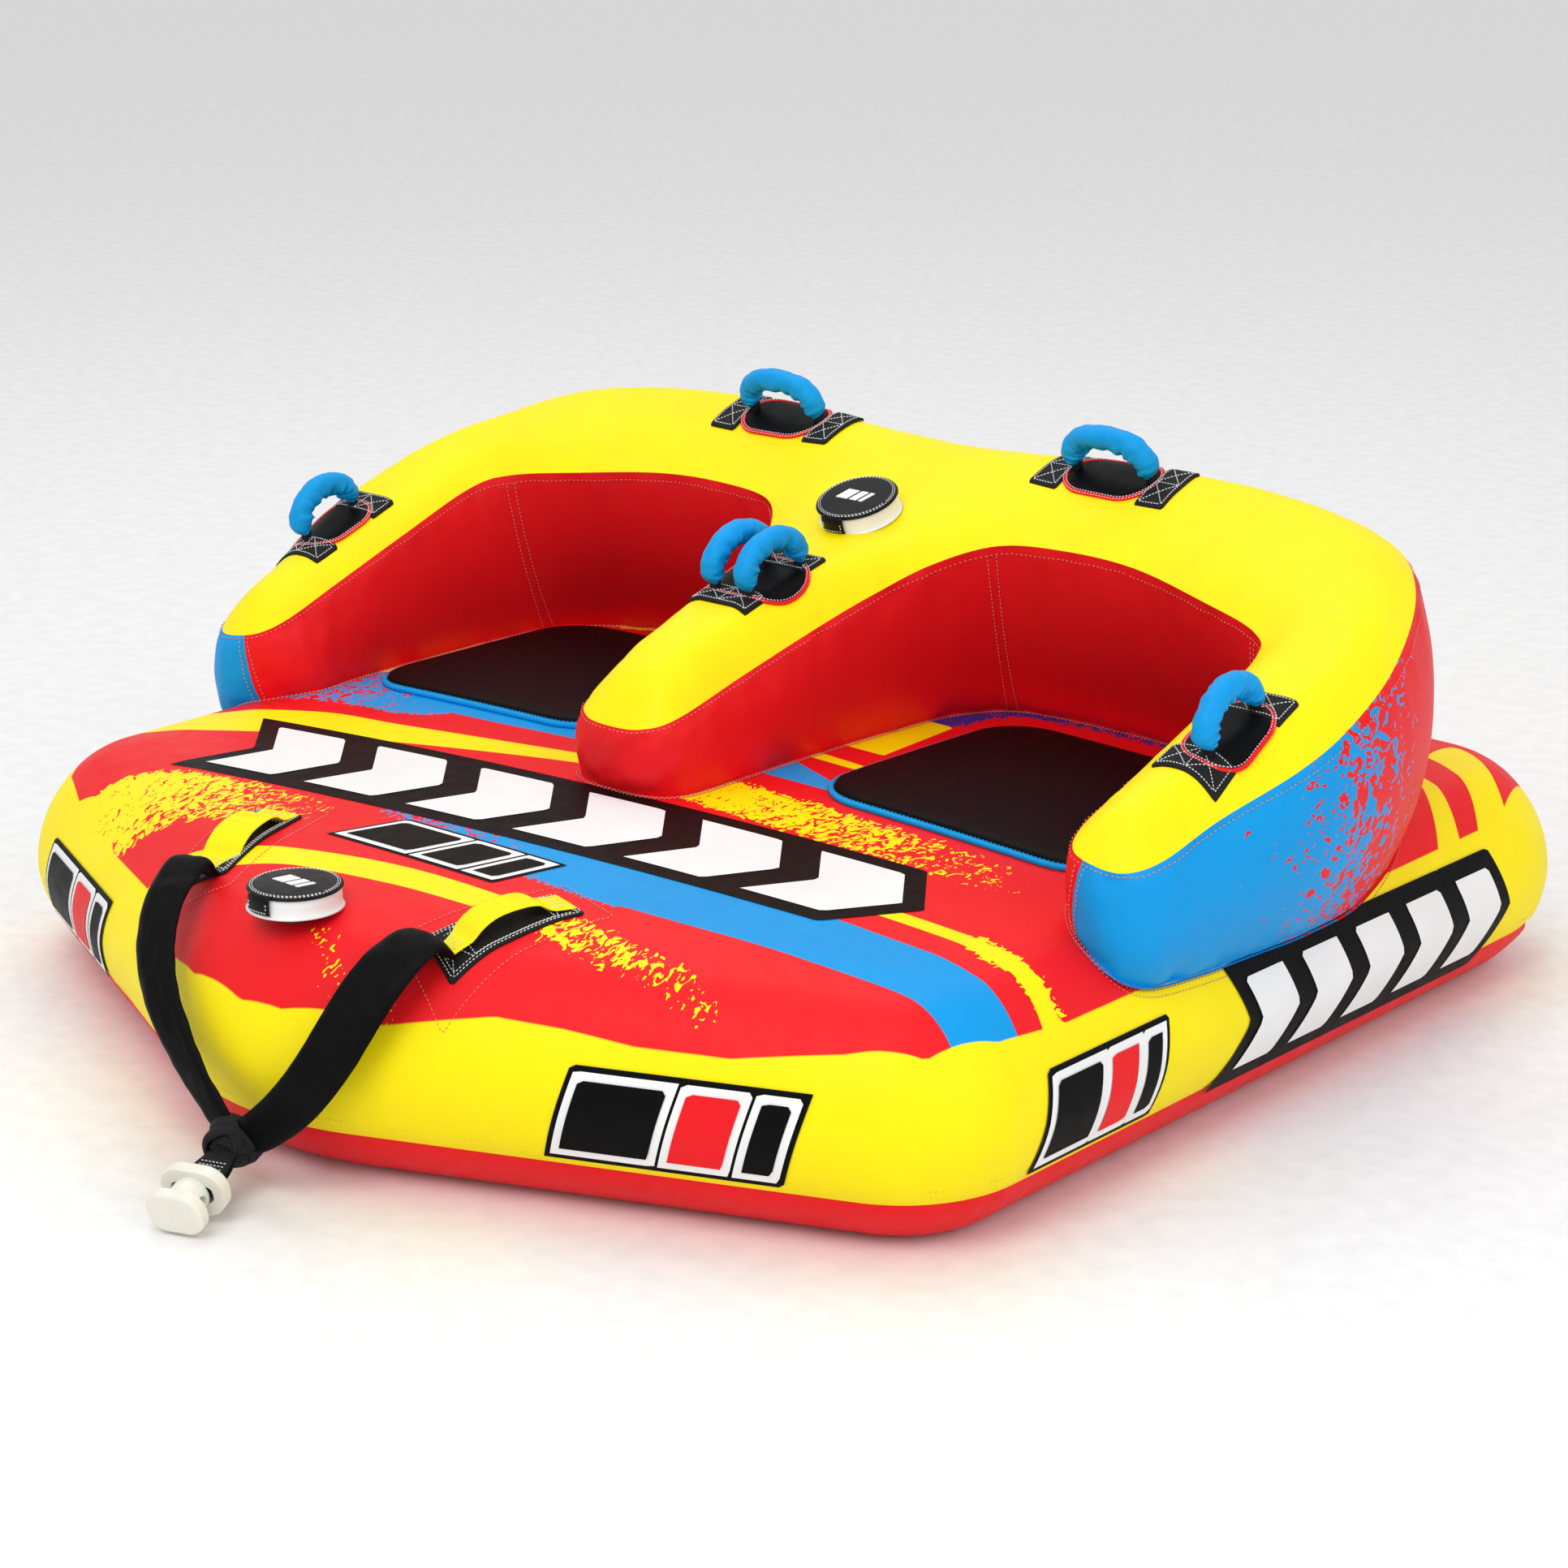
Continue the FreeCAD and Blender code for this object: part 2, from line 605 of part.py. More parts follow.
base_shell = skin_of("BaseShell", base_form, 0.0, CLOTH)
upper = box_region("AboveSeam", -WIDE, WIDE, -WIDE, WIDE, SEAM, SKY)
lower = box_region("BelowSeam", -WIDE, WIDE, -WIDE, WIDE, -SEAM, SEAM)
deck = boolean("Common", "DeckCloth", base_shell, upper)
keep(holed("base_cover_deck", deck, [HOLES["base"]]))
keep(boolean("Common", "base_cover_bottom", base_shell, lower))
base_bag = skin_of("BaseBag", base_form, BLADDER, BLADDER_INSIDE)
keep(holed("base_bladder", base_bag, [HOLES["base"]]))

bolster_shell = skin_of("BolsterShell", bolster_form, 0.0, CLOTH, open_foot=True)
bolster_bag = skin_of("BolsterBag", bolster_form, BLADDER, BLADDER_INSIDE)
keep(holed("bolster_bladder", bolster_bag, [HOLES["bolster"]]))


def above_seam(name):
    """Everything above the seam that joins the top panel to the walls; it runs below the top by the lip."""
    body = new_body(name)
    pad(body, slope_side(body, name + "Side", cell("lip")), WIDE * 2.0, midplane=True, name=name + "Block")
    return body


lid_region = above_seam("TopRegion")
top_cloth = boolean("Common", "TopCloth", bolster_shell, lid_region)
keep(holed("bolster_top_panel", top_cloth, [HOLES["bolster"]]))
walls = boolean("Cut", "Walls", bolster_shell, above_seam("TopRegionForWalls"))

FRONT, REAR = -cell("back_seam_front"), cell("back_panel_rear")
LOW, HIGH = cell("deck_height"), term(WIDE)
inner, outer = cell("back_seam_inner"), cell("back_seam_outer")
seam = cell("arm_seam")
PANELS = {
    "bolster_wall_centre_arm": (-inner, inner),
    "bolster_backrest_right": (inner, outer),
    "bolster_backrest_left": (-outer, -inner),
    "bolster_wall_arm_right": (outer, seam),
    "bolster_wall_arm_left": (-seam, -outer),
}
for label, (x0, x1) in PANELS.items():
    region = box_region(label + "_region", x0, x1, FRONT, REAR, LOW, HIGH)
    keep(boolean("Common", label, walls, region))
inside = box_region("InsideWalls", -seam, seam, FRONT, REAR, LOW, HIGH)
keep(boolean("Cut", "bolster_wall_outer", walls, inside))


# ---------------------------------------------------------------- seats

def seat(name, side):
    x_inner, x_outer = cell("seat_inner"), cell("seat_outer")
    x0, x1 = (x_inner, x_outer) if side > 0 else (-x_outer, -x_inner)
    y0, y1 = cell("seat_front"), cell("seat_rear")
    body = new_body(f"seat_pad_{name}")
    plan = rectangle(x0, x1, y0, y1, cell("seat_radius"))
    pad(body, outline(body, f"SeatPlan_{name}", "XY_Plane", plan, cell("deck_height")), cell("seat_thick"))
    keep(body)
    edge = cell("piping")
    ring = new_body(f"seat_piping_{name}")
    around = outline(ring, f"PipingPlan_{name}", "XY_Plane", rectangle(
        x0 - edge, x1 + edge, y0 - edge, y1 + edge, cell("seat_radius") + edge), cell("deck_height"))
    add_run(around, plan, closed=True)
    pad(ring, around, edge)
    keep(ring)


seat("right", 1)
seat("left", -1)

# ---------------------------------------------------------------- grips and their pads

SIDEWAYS = Placement(Vector(), Rotation(Vector(0, 0, 1), 90))


def knuckle_pads(kind, places):
    """The pads under one kind of grip, and the edge binding of all of them."""
    width, length, radius = (cell(f"{kind}_pad_{size}") for size in ("width", "length", "radius"))
    rings = []
    for side, place in places.items():
        name = f"{kind}_{side}".strip("_")
        keep(knuckle_pad(name, place, width, length, radius))
        rings.append(binding(name, place, width, length, radius))
    if len(rings) == 1:
        keep(rings[0])
        return
    both = doc.addObject("Part::MultiFuse", f"pad_binding_{kind}s")
    both.Label = f"pad_binding_{kind}s"
    both.Shapes = rings
    keep(both)


def grip_row(kind, surface, turned=Placement()):
    """A pair of grips, one each side of the middle line; returns where they stand."""
    across, along = cell(f"{kind}_grip_across").value, cell(f"{kind}_grip_along").value
    places = {name: surface(side * across, along) * turned for name, side in (("right", 1), ("left", -1))}
    for side, place in places.items():
        grip(f"{kind}_{side}", place, cell(f"{kind}_chord"))
    return places


for kind, turned in (("arm", Placement()), ("rear", SIDEWAYS)):
    places = grip_row(kind, on_slope, turned)
    for side, place in places.items():
        strips(f"{kind}_{side}", place, cell(f"{kind}_strip_at").value, cell("strip_length"))
    knuckle_pads(kind, places)
grip_row("centre", on_crown)
between = {"": on_crown(0.0, cell("centre_grip_along").value)}
strips("centre", between[""], cell("centre_strip_at").value, cell("centre_strip_length"))
knuckle_pads("centre", between)

# ---------------------------------------------------------------- tow harness

KNOT = Vector(45.0, -860.0, 60.0)
# each strap's middle line from its patch to the knot, lying over the edge of the nose
ROUTES = {
    "right": [(196.0, -706.0, 292.0), (191.0, -736.0, 282.0), (184.0, -768.0, 256.0), (174.0, -797.0, 219.0),
              (162.0, -819.0, 181.0), (143.0, -837.0, 143.0), (114.0, -848.0, 108.0), (78.0, -856.0, 78.0)],
    "left": [(-196.0, -706.0, 292.0), (-187.0, -736.0, 282.0), (-171.0, -772.0, 260.0),
             (-144.0, -806.0, 224.0), (-107.0, -831.0, 187.0), (-63.0, -846.0, 149.0),
             (-21.0, -855.0, 115.0), (18.0, -859.0, 84.0)],
}


def anchor(name, side):
    """The black patch sewn to the deck and the raised webbing loop on it."""
    place = on_deck(side * cell("patch_across").value, cell("patch_along").value,
                    -side * cell("patch_turn").value)
    half_x, half_y = cell("patch_width") * 0.5, cell("patch_length") * 0.5
    patch = new_body(f"tow_patch_{name}")
    plan = rectangle(-half_x, half_x, -half_y, half_y, cell("patch_corner"))
    pad(patch, outline(patch, f"PatchPlan_{name}", "XY_Plane", plan), cell("patch_thick"))
    low, thick, rise = cell("patch_thick"), cell("loop_thick"), cell("loop_rise")
    end = half_y - cell("loop_margin")
    foot, brow, bend = cell("loop_foot"), cell("loop_brow"), cell("loop_bend")
    side_view = [
        (-end, low, 0.0), (-foot, low, bend), (-brow, low + rise, bend), (brow, low + rise, bend),
        (foot, low, bend), (end, low, 0.0), (end, low + thick, 0.0), (foot + 1.0, low + thick, bend),
        (brow + 1.0, low + rise + thick, bend), (-brow - 1.0, low + rise + thick, bend),
        (-foot - 1.0, low + thick, bend), (-end, low + thick, 0.0)]
    loop = new_body(f"tow_webbing_{name}")
    pad(loop, outline(loop, f"LoopSide_{name}", "YZ_Plane", side_view), cell("loop_width"), midplane=True)
    for body in (patch, loop):
        body.Placement = place
        keep(body)


def sleeve(name, route):
    """A flat padded sleeve lofted through rectangles that turn from facing up to facing forwards."""
    points = [Vector(*p) for p in route]
    last = len(points) - 1
    wires = []
    for i, point in enumerate(points):
        along = (points[min(i + 1, last)] - points[max(i - 1, 0)]).normalize()
        tilt = math.radians(90.0) * min(1.0, cell("sleeve_turn").value * i / last)
        facing = Vector(0, -math.sin(tilt), math.cos(tilt))
        side = along.cross(facing).normalize()
        face = side.cross(along)
        narrow = 1.0 - cell("sleeve_taper").value * (i / last) ** 2
        half_w = side * (cell("sleeve_width").value / 2 * narrow)
        half_t = face * (cell("sleeve_thick").value / 2)
        corners = [point + half_w + half_t, point - half_w + half_t,
                   point - half_w - half_t, point + half_w - half_t]
        wires.append(Part.makePolygon(corners + corners[:1]))
    strap = doc.addObject("Part::Feature", f"tow_sleeve_{name}")
    strap.Label = f"tow_sleeve_{name}"
    strap.Shape = Part.makeLoft(wires, True, True)
    keep(strap)


for name, side in (("right", 1), ("left", -1)):
    anchor(name, side)
    sleeve(name, ROUTES[name])

heading = Rotation(Vector(0, 0, 1), cell("spool_heading").value)
turn = heading.multiply(Rotation(Vector(1, 0, 0), cell("spool_pitch").value))
ahead = turn.multVec(Vector(0, -1, 0))
spool_place = Placement(KNOT + ahead * cell("spool_reach").value, turn)

lump = doc.addObject("Part::Ellipsoid", "KnotLump")
bind(lump, "Radius1", cell("knot_half_height"))
bind(lump, "Radius2", cell("knot_half_width"))
bind(lump, "Radius3", cell("knot_half_depth"))
lump.Placement = Placement(KNOT, heading)
wrap = doc.addObject("Part::Torus", "KnotWrap")
bind(wrap, "Radius1", cell("wrap_radius"))
bind(wrap, "Radius2", cell("wrap_thick"))
wrap.Placement = Placement(KNOT, turn.multiply(Rotation(Vector(1, 0, 0), cell("wrap_lean").value)))
keep(boolean("Fuse", "tow_knot", lump, wrap))


def tow_tail():
    """The doubled webbing behind the knot, looped round the spool's bar."""
    body = new_body("tow_tail")
    bore = cell("spool_bar_radius") + cell("spool_bar_play")
    eye = sketch_on(body, "TailEye", "YZ_Plane")
    add_circle(eye, 0.0, 0.0, bore + cell("tail_wall"))
    add_circle(eye, 0.0, 0.0, bore)
    pad(body, eye, cell("tail_width"), midplane=True, name="Eye")
    half = cell("tail_thick") * 0.5
    reach = cell("spool_reach") - cell("tail_hidden")
    strap = outline(body, "TailSide", "YZ_Plane", rectangle(bore + 1.0, reach, -half, half))
    pad(body, strap, cell("tail_width"), midplane=True, name="Strap")
    return body


def tow_connector():
    """The moulded spool that takes the rope's loop: two flanges, a groove, a cross bar and an eye."""
    body = new_body("tow_connector")

    def flange(label, width, height, radius, start, length, rounded_end):
        half_x, half_z = cell(width) * 0.5, cell(height) * 0.5
        plan = outline(body, label + "Plan", "XZ_Plane", rectangle(
            -half_x, half_x, -half_z, half_z, cell(radius)), lift=start)
        block = pad(body, plan, length, name=label)
        flat_at = -term(rounded_end).value

        def accepts(face):
            box = face.BoundBox
            return box.YLength < 1e-6 and abs(box.YMin - flat_at) < 1e-6
        return round_faces(body, block, cell("spool_edge"), accepts, label + "Edge")

    half = cell("spool_flange") * 0.5
    flange("RearFlange", "spool_flange_width", "spool_flange_height", "spool_flange_radius",
           -half, cell("spool_flange"), -half)
    hub = add_circle(sketch_on(body, "HubPlan", "XZ_Plane", half - 1.0), 0.0, 0.0, cell("spool_hub_radius"))
    pad(body, hub, cell("spool_groove") + 2.0, name="Hub")
    front = half + cell("spool_groove")
    flange("FrontFlange", "spool_front_width", "spool_front_height", "spool_front_radius",
           front, cell("spool_front"), front + cell("spool_front"))
    half_x, half_z = cell("spool_pocket_width") * 0.5, cell("spool_pocket_height") * 0.5
    opening = rectangle(-half_x, half_x, -half_z, half_z, cell("spool_pocket_radius"))
    mouth = outline(body, "MouthPlan", "XZ_Plane", opening, lift=-half)
    pocket(body, mouth, cell("spool_flange"), name="Mouth")
    bar = add_circle(sketch_on(body, "BarPlan", "YZ_Plane"), 0.0, 0.0, cell("spool_bar_radius"))
    pad(body, bar, cell("spool_pocket_width") + 4.0, midplane=True, name="Bar")
    eye_at = -(half + cell("spool_groove") * 0.5)
    eye = add_circle(sketch_on(body, "EyePlan", "YZ_Plane"), eye_at, 0.0, cell("spool_eye_radius"))
    pocket(body, eye, 200.0, midplane=True, name="Eye")
    return body


for body in (tow_tail(), tow_connector()):
    body.Placement = spool_place
    keep(body)

# ---------------------------------------------------------------- zipper across the stern

STERN = cell("base_rear")
ZIP_HEIGHT = cell("deck_height") * 0.5
half_length, half_width = cell("zip_length") * 0.5, cell("zip_width") * 0.5
half_chain = cell("zip_chain_width") * 0.5
tape_back = STERN + cell("zip_tape")
chain_back = tape_back + cell("zip_chain")
tape = box_region("ZipTape", -half_length, half_length, STERN, tape_back,
                  ZIP_HEIGHT - half_width, ZIP_HEIGHT + half_width)
chain = box_region("ZipChain", -half_length, half_length, tape_back, chain_back,
                   ZIP_HEIGHT - half_chain, ZIP_HEIGHT + half_chain)
keep(boolean("Fuse", "zipper", tape, chain))

play = cell("slider_play")
slide_start = cell("slider_length") - half_length
half_slider = cell("slider_width") * 0.5
slider_low = tape_back + play
slider_back = slider_low + cell("slider_height")
slider_half = cell("slider_length") * 0.5
block = box_region("SliderBlock", slide_start - slider_half, slide_start + slider_half,
                   slider_low, slider_back, ZIP_HEIGHT - half_slider, ZIP_HEIGHT + half_slider)
reach = slider_half * 2.0
channel = box_region("SliderChannel", slide_start - reach, slide_start + reach, STERN, chain_back + play,
                     ZIP_HEIGHT - half_chain - play, ZIP_HEIGHT + half_chain + play)
pin_back = (slider_back + cell("barrel_radius") + play).value
pivot = Vector(slide_start.value, pin_back, ZIP_HEIGHT.value)
across = Rotation(Vector(0, 1, 0), 90)
pull_half = cell("pull_width") * 0.5


def rod(name, radius, half_span):
    """A round bar lying across the object, about the pull's pivot."""
    bar = doc.addObject("Part::Cylinder", name)
    bind(bar, "Radius", radius)
    bar.Height = 2.0 * half_span
    bar.Placement = Placement(pivot - Vector(half_span, 0, 0), across)
    return bar


def ear(side):
    """A lug on the slider that holds one end of the pull's pin."""
    lug = doc.addObject("Part::Box", f"SliderEar{'Left' if side < 0 else 'Right'}")
    bind(lug, "Length", cell("ear_thick"))
    bind(lug, "Width", cell("barrel_radius") + play + cell("pin_radius") + EAR_ROOT)
    bind(lug, "Height", cell("ear_height"))
    start = ear_span if side > 0 else -ear_span - cell("ear_thick").value
    low = pivot.z - cell("ear_height").value / 2
    lug.Placement.Base = Vector(pivot.x + start, slider_back.value - EAR_ROOT, low)
    return lug


EAR_ROOT = 0.5
ear_span = (pull_half + cell("ear_play")).value
slider = doc.addObject("Part::MultiFuse", "zipper_slider")
slider.Label = "zipper_slider"
pin = rod("SliderPin", cell("pin_radius"), ear_span + cell("ear_thick").value)
slider.Shapes = [boolean("Cut", "SliderBody", block, channel), pin, ear(1), ear(-1)]
keep(slider)

barrel = boolean("Cut", "PullBarrel", rod("PullBarrelSolid", cell("barrel_radius"), pull_half.value),
                 rod("PullBarrelBore", cell("barrel_bore"), 2.0 * pull_half.value))
plate = box_region("PullPlate", slide_start - pull_half, slide_start + pull_half,
                   pin_back - cell("pull_thick").value / 2, pin_back + cell("pull_thick").value / 2,
                   ZIP_HEIGHT - cell("pull_length"), ZIP_HEIGHT - cell("barrel_bore") - 0.5)
keep(boolean("Fuse", "zipper_pull", barrel, plate))

# ---------------------------------------------------------------- check and write

doc.recompute()
for obj in doc.Objects:
    if {"Invalid", "Error"} & set(obj.State):
        raise RuntimeError(f"{obj.Label} failed: {obj.State}")
for node in NODES:
    shape = node.Shape
    if shape.isNull() or not shape.isValid() or not shape.Solids:
        raise RuntimeError(f"{node.Label} has no valid solid")

os.makedirs("parts", exist_ok=True)
for node in NODES:
    node.Shape.exportStep(f"parts/{node.Label}.step")
    print(f"{node.Label:28s} {len(node.Shape.Solids)} solid(s) {node.Shape.Volume / 1000:10.1f} cm3")
box = NODES[0].Shape.BoundBox
for node in NODES[1:]:
    box.add(node.Shape.BoundBox)
print(len(NODES), "nodes", box)
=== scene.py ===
"""Looks of the two-rider towable tube: printed nylon covers, padded seats, grips, valves and tow harness."""

import math

import bmesh
import bpy
import numpy as np
from mathutils import Matrix, Vector, geometry, noise


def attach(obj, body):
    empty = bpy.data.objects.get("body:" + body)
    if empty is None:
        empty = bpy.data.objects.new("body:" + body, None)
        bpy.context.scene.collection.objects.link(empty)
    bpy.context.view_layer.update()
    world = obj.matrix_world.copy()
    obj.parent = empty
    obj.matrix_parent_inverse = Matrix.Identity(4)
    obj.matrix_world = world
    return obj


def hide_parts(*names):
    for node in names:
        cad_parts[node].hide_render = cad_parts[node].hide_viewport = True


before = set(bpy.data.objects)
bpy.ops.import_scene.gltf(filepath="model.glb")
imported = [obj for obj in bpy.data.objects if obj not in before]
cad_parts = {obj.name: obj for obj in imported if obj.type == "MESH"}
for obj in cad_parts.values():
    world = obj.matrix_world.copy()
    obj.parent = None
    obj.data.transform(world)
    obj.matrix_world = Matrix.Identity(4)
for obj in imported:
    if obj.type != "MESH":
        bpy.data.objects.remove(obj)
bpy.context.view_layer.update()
HULL = "hull"

# ---------------------------------------------------------------- colours

YELLOW = (0.98, 0.8, 0.0)
RED = (0.82, 0.008, 0.013)
BLUE = (0.0, 0.31, 0.74)
WHITE = (0.86, 0.86, 0.86)


# ---------------------------------------------------------------- meshes

def add_mesh(name, points, faces, material, body=HULL, smooth=True):
    """A mesh piece in the row's frame that rides on a body."""
    mesh = bpy.data.meshes.new(name)
    mesh.from_pydata([tuple(map(float, p)) for p in points], [], [tuple(map(int, f)) for f in faces])
    mesh.materials.append(material)
    mesh.polygons.foreach_set("use_smooth", [smooth] * len(mesh.polygons))
    mesh.update()
    piece = bpy.data.objects.new(name, mesh)
    bpy.context.scene.collection.objects.link(piece)
    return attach(piece, body)


def ring_faces(rings, around, closed=True, flip=False):
    """Quads between successive rings of points."""
    faces = []
    for i in range(rings - 1):
        for j in range(around if closed else around - 1):
            k = (j + 1) % around
            quad = (i * around + j, i * around + k, (i + 1) * around + k, (i + 1) * around + j)
            faces.append(quad[::-1] if flip else quad)
    return faces


def end_caps(rings, around):
    """The two faces that close a tube of rings."""
    return [list(range(around))[::-1], list(range((rings - 1) * around, rings * around))]


def give_value(piece, name, values):
    """A number at every point, for the piece's material to read."""
    layer = piece.data.attributes.new(name, "FLOAT", "POINT")
    layer.data.foreach_set("value", np.asarray(values, dtype=np.float32))


def solidify(piece, thickness, offset=-1.0):
    """Gives a sheet its thickness, behind it by default."""
    shell = piece.modifiers.new("Thickness", "SOLIDIFY")
    shell.thickness = thickness
    shell.offset = offset


def soften(piece):
    """Rounds a piece off by one subdivision."""
    smooth = piece.modifiers.new("Smooth", "SUBSURF")
    smooth.levels = smooth.render_levels = 1


def bevel(piece, width):
    """Rounds a piece's sharp edges."""
    edge = piece.modifiers.new("Edge", "BEVEL")
    edge.width = width
    edge.segments = 2
    edge.limit_method = "ANGLE"


# ---------------------------------------------------------------- curves in plan

def rounded(corners, per_arc=14, spacing=0.012):
    """A closed outline through rounded corners (x, y, radius), going round with the inside on the left."""
    points = []
    count = len(corners)
    for i, (x, y, radius) in enumerate(corners):
        here = np.array((x, y))
        before = np.array(corners[i - 1][:2]) - here
        after = np.array(corners[(i + 1) % count][:2]) - here
        before, after = before / np.linalg.norm(before), after / np.linalg.norm(after)
        half = math.acos(np.clip(before @ after, -1, 1)) / 2
        setback = radius / math.tan(half)
        middle = (before + after) / np.linalg.norm(before + after)
        centre = here + middle * radius / math.sin(half)
        start, end = here + before * setback - centre, here + after * setback - centre
        a0 = math.atan2(start[1], start[0])
        turn = (math.atan2(end[1], end[0]) - a0 + math.pi) % (2 * math.pi) - math.pi
        for k in range(per_arc + 1):
            angle = a0 + turn * k / per_arc
            points.append(centre + radius * np.array((math.cos(angle), math.sin(angle))))
    return resample(np.array(points), spacing)


def resample(points, spacing):
    """Points evenly spaced along a closed polyline."""
    loop = np.vstack([points, points[:1]])
    steps = np.linalg.norm(np.diff(loop, axis=0), axis=1)
    length = np.concatenate([[0], np.cumsum(steps)])
    count = max(8, int(round(length[-1] / spacing)))
    at = np.linspace(0, length[-1], count + 1)[:count]
    return np.stack([np.interp(at, length, loop[:, i]) for i in range(loop.shape[1])], axis=1)


def spline_span(p0, p1, p2, p3, steps):
    """Points of a Catmull-Rom spline from p1 up to, but without, p2."""
    return [0.5 * (2 * p1 + (p2 - p0) * t + (2 * p0 - 5 * p1 + 4 * p2 - p3) * t * t
                   + (3 * p1 - p0 - 3 * p2 + p3) * t ** 3) for t in (step / steps for step in range(steps))]


def catmull(stations, per_span):
    """A closed smooth curve through rows of numbers; every column is carried along."""
    rows = np.asarray(stations, float)
    count = len(rows)
    out = []
    for i in range(count):
        out += spline_span(*(rows[(i + k) % count] for k in (-1, 0, 1, 2)), per_span)
    return np.array(out)


def open_spline(rows, per_span):
    """A smooth open curve through all rows of numbers but the first and last, which only set its ends' directions."""
    out = []
    for i in range(1, len(rows) - 2):
        out += spline_span(*rows[i - 1:i + 3], per_span)
    return np.array(out + [rows[-2]])


def facing_up(outline):
    """A closed outline turned so that its inside is on the left."""
    ahead = np.roll(outline, -1, axis=0)
    area = np.sum(outline[:, 0] * ahead[:, 1] - ahead[:, 0] * outline[:, 1])
    return outline if area > 0 else outline[::-1]


def normals_of(loop):
    """Unit normals of a closed outline, pointing away from its inside on the left."""
    ahead = np.roll(loop, -1, axis=0) - np.roll(loop, 1, axis=0)
    ahead /= np.linalg.norm(ahead, axis=1)[:, None]
    return np.stack([ahead[:, 1], -ahead[:, 0]], axis=1)


def distance_to(points, loop):
    """Distance from plan points to a closed outline, and where along the outline the nearest point is."""
    points = np.asarray(points, float)
    a, b = loop, np.roll(loop, -1, axis=0)
    ab = b - a
    best = np.full(len(points), 1e9)
    where = np.zeros(len(points))
    for start in range(0, len(points), 2000):
        part = points[start:start + 2000]
        ap = part[:, None, :] - a[None]
        t = np.clip((ap * ab).sum(2) / (ab * ab).sum(1), 0, 1)
        gap = np.linalg.norm(ap - ab * t[..., None], axis=2)
        nearest = gap.argmin(1)
        rows = np.arange(len(part))
        best[start:start + 2000] = gap[rows, nearest]
        where[start:start + 2000] = nearest + t[rows, nearest]
    return best, where


def is_inside(points, loop):
    """Even-odd test of plan points against a closed outline."""
    points = np.asarray(points, float)
    x, y = points[:, 0], points[:, 1]
    inside = np.zeros(len(points), bool)
    for (x0, y0), (x1, y1) in zip(loop, np.roll(loop, -1, axis=0)):
        if y0 == y1:
            continue
        crosses = ((y0 > y) != (y1 > y)) & (x < (x1 - x0) * (y - y0) / (y1 - y0) + x0)
        inside ^= crosses
    return inside


def depth_in(points, loop):
    """Distance to an outline, positive inside it."""
    gap, _ = distance_to(points, loop)
    return np.where(is_inside(points, loop), gap, -gap)


def smooth_step(low, high, value):
    """0 up to low, 1 from high on, and a smooth rise between them."""
    t = np.clip((value - low) / (high - low), 0, 1)
    return t * t * (3 - 2 * t)


def waves(points, scale, seed):
    """Smooth random values between -1 and 1 at points in space."""
    shift = Vector((seed * 3.7, seed * 1.9, seed * 5.3))
    return np.array([noise.noise(Vector(p) / scale + shift) for p in points])


# ---------------------------------------------------------------- base: outline, side and deck

BASE_HALF, BASE_REAR, SHOULDER, APEX = 0.79, 0.822, -0.514, -0.855
BASE_CORNERS = [(BASE_HALF, SHOULDER, 0.18), (BASE_HALF, BASE_REAR, 0.188), (-BASE_HALF, BASE_REAR, 0.188),
                (-BASE_HALF, SHOULDER, 0.18), (0.0, APEX, 0.369)]
THICKNESS, EDGE_INSET, SIDE_POWER = 0.264, 0.098, 1.75
SEAM_HEIGHT = 0.066
BASE_SPACING = 0.01
CROWN_RISE, CROWN_MIDDLE, CROWN_HALF, CROWN_LENGTH = 0.036, -0.188, 0.925, 1.062
CROWN_START, CROWN_FULL = 0.03, 0.17
base_loop = rounded(BASE_CORNERS, 24, BASE_SPACING)
base_normals = normals_of(base_loop)


def crown(x, y):
    """How far the deck swells above a flat top."""
    return CROWN_RISE * (1 - (x / CROWN_HALF) ** 2) * (1 - ((y - CROWN_MIDDLE) / CROWN_LENGTH) ** 2 * 0.9)


def deck_height(points):
    """The deck's height at plan points."""
    points = np.asarray(points, float)
    depth = depth_in(points, base_loop)
    t = np.clip((EDGE_INSET - depth) / EDGE_INSET, 0, 1)
    top = THICKNESS / 2 * (1 + (1 - t ** SIDE_POWER) ** (1 / SIDE_POWER))
    return top + crown(points[:, 0], points[:, 1]) * smooth_step(CROWN_START, CROWN_FULL, depth)


def side_ring(height_angle):
    """A ring round the side: angle 0 is the widest line, a quarter turn up the deck's edge, and down the bottom's."""
    s, c = math.sin(height_angle), math.cos(height_angle)
    inset = EDGE_INSET * (1 - abs(c) ** (2 / SIDE_POWER))
    lift = THICKNESS / 2 * (1 + math.copysign(abs(s) ** (2 / SIDE_POWER), s))
    return base_loop - base_normals * inset, lift, inset


def fill(loop, spacing):
    """Plan points and triangles filling an outline; the outline's own points are kept."""
    low, high = loop.min(0), loop.max(0)
    rows = np.arange(low[1], high[1], spacing * 0.866)
    grid = np.array([(x + spacing / 2 * (i % 2), y)
                     for i, y in enumerate(rows) for x in np.arange(low[0], high[0], spacing)])
    grid = grid[is_inside(grid, loop)]
    grid = grid[distance_to(grid, loop)[0] > spacing * 0.6]
    points = [Vector(p) for p in np.vstack([loop, grid])]
    edges = [(i, (i + 1) % len(loop)) for i in range(len(loop))]
    made = geometry.delaunay_2d_cdt(points, edges, [], 1, 1e-6)
    return np.array([tuple(p) for p in made[0]]), made[2]


def lift(points, heights):
    """Plan points raised to their heights."""
    return np.column_stack([points, np.broadcast_to(heights, len(points))])


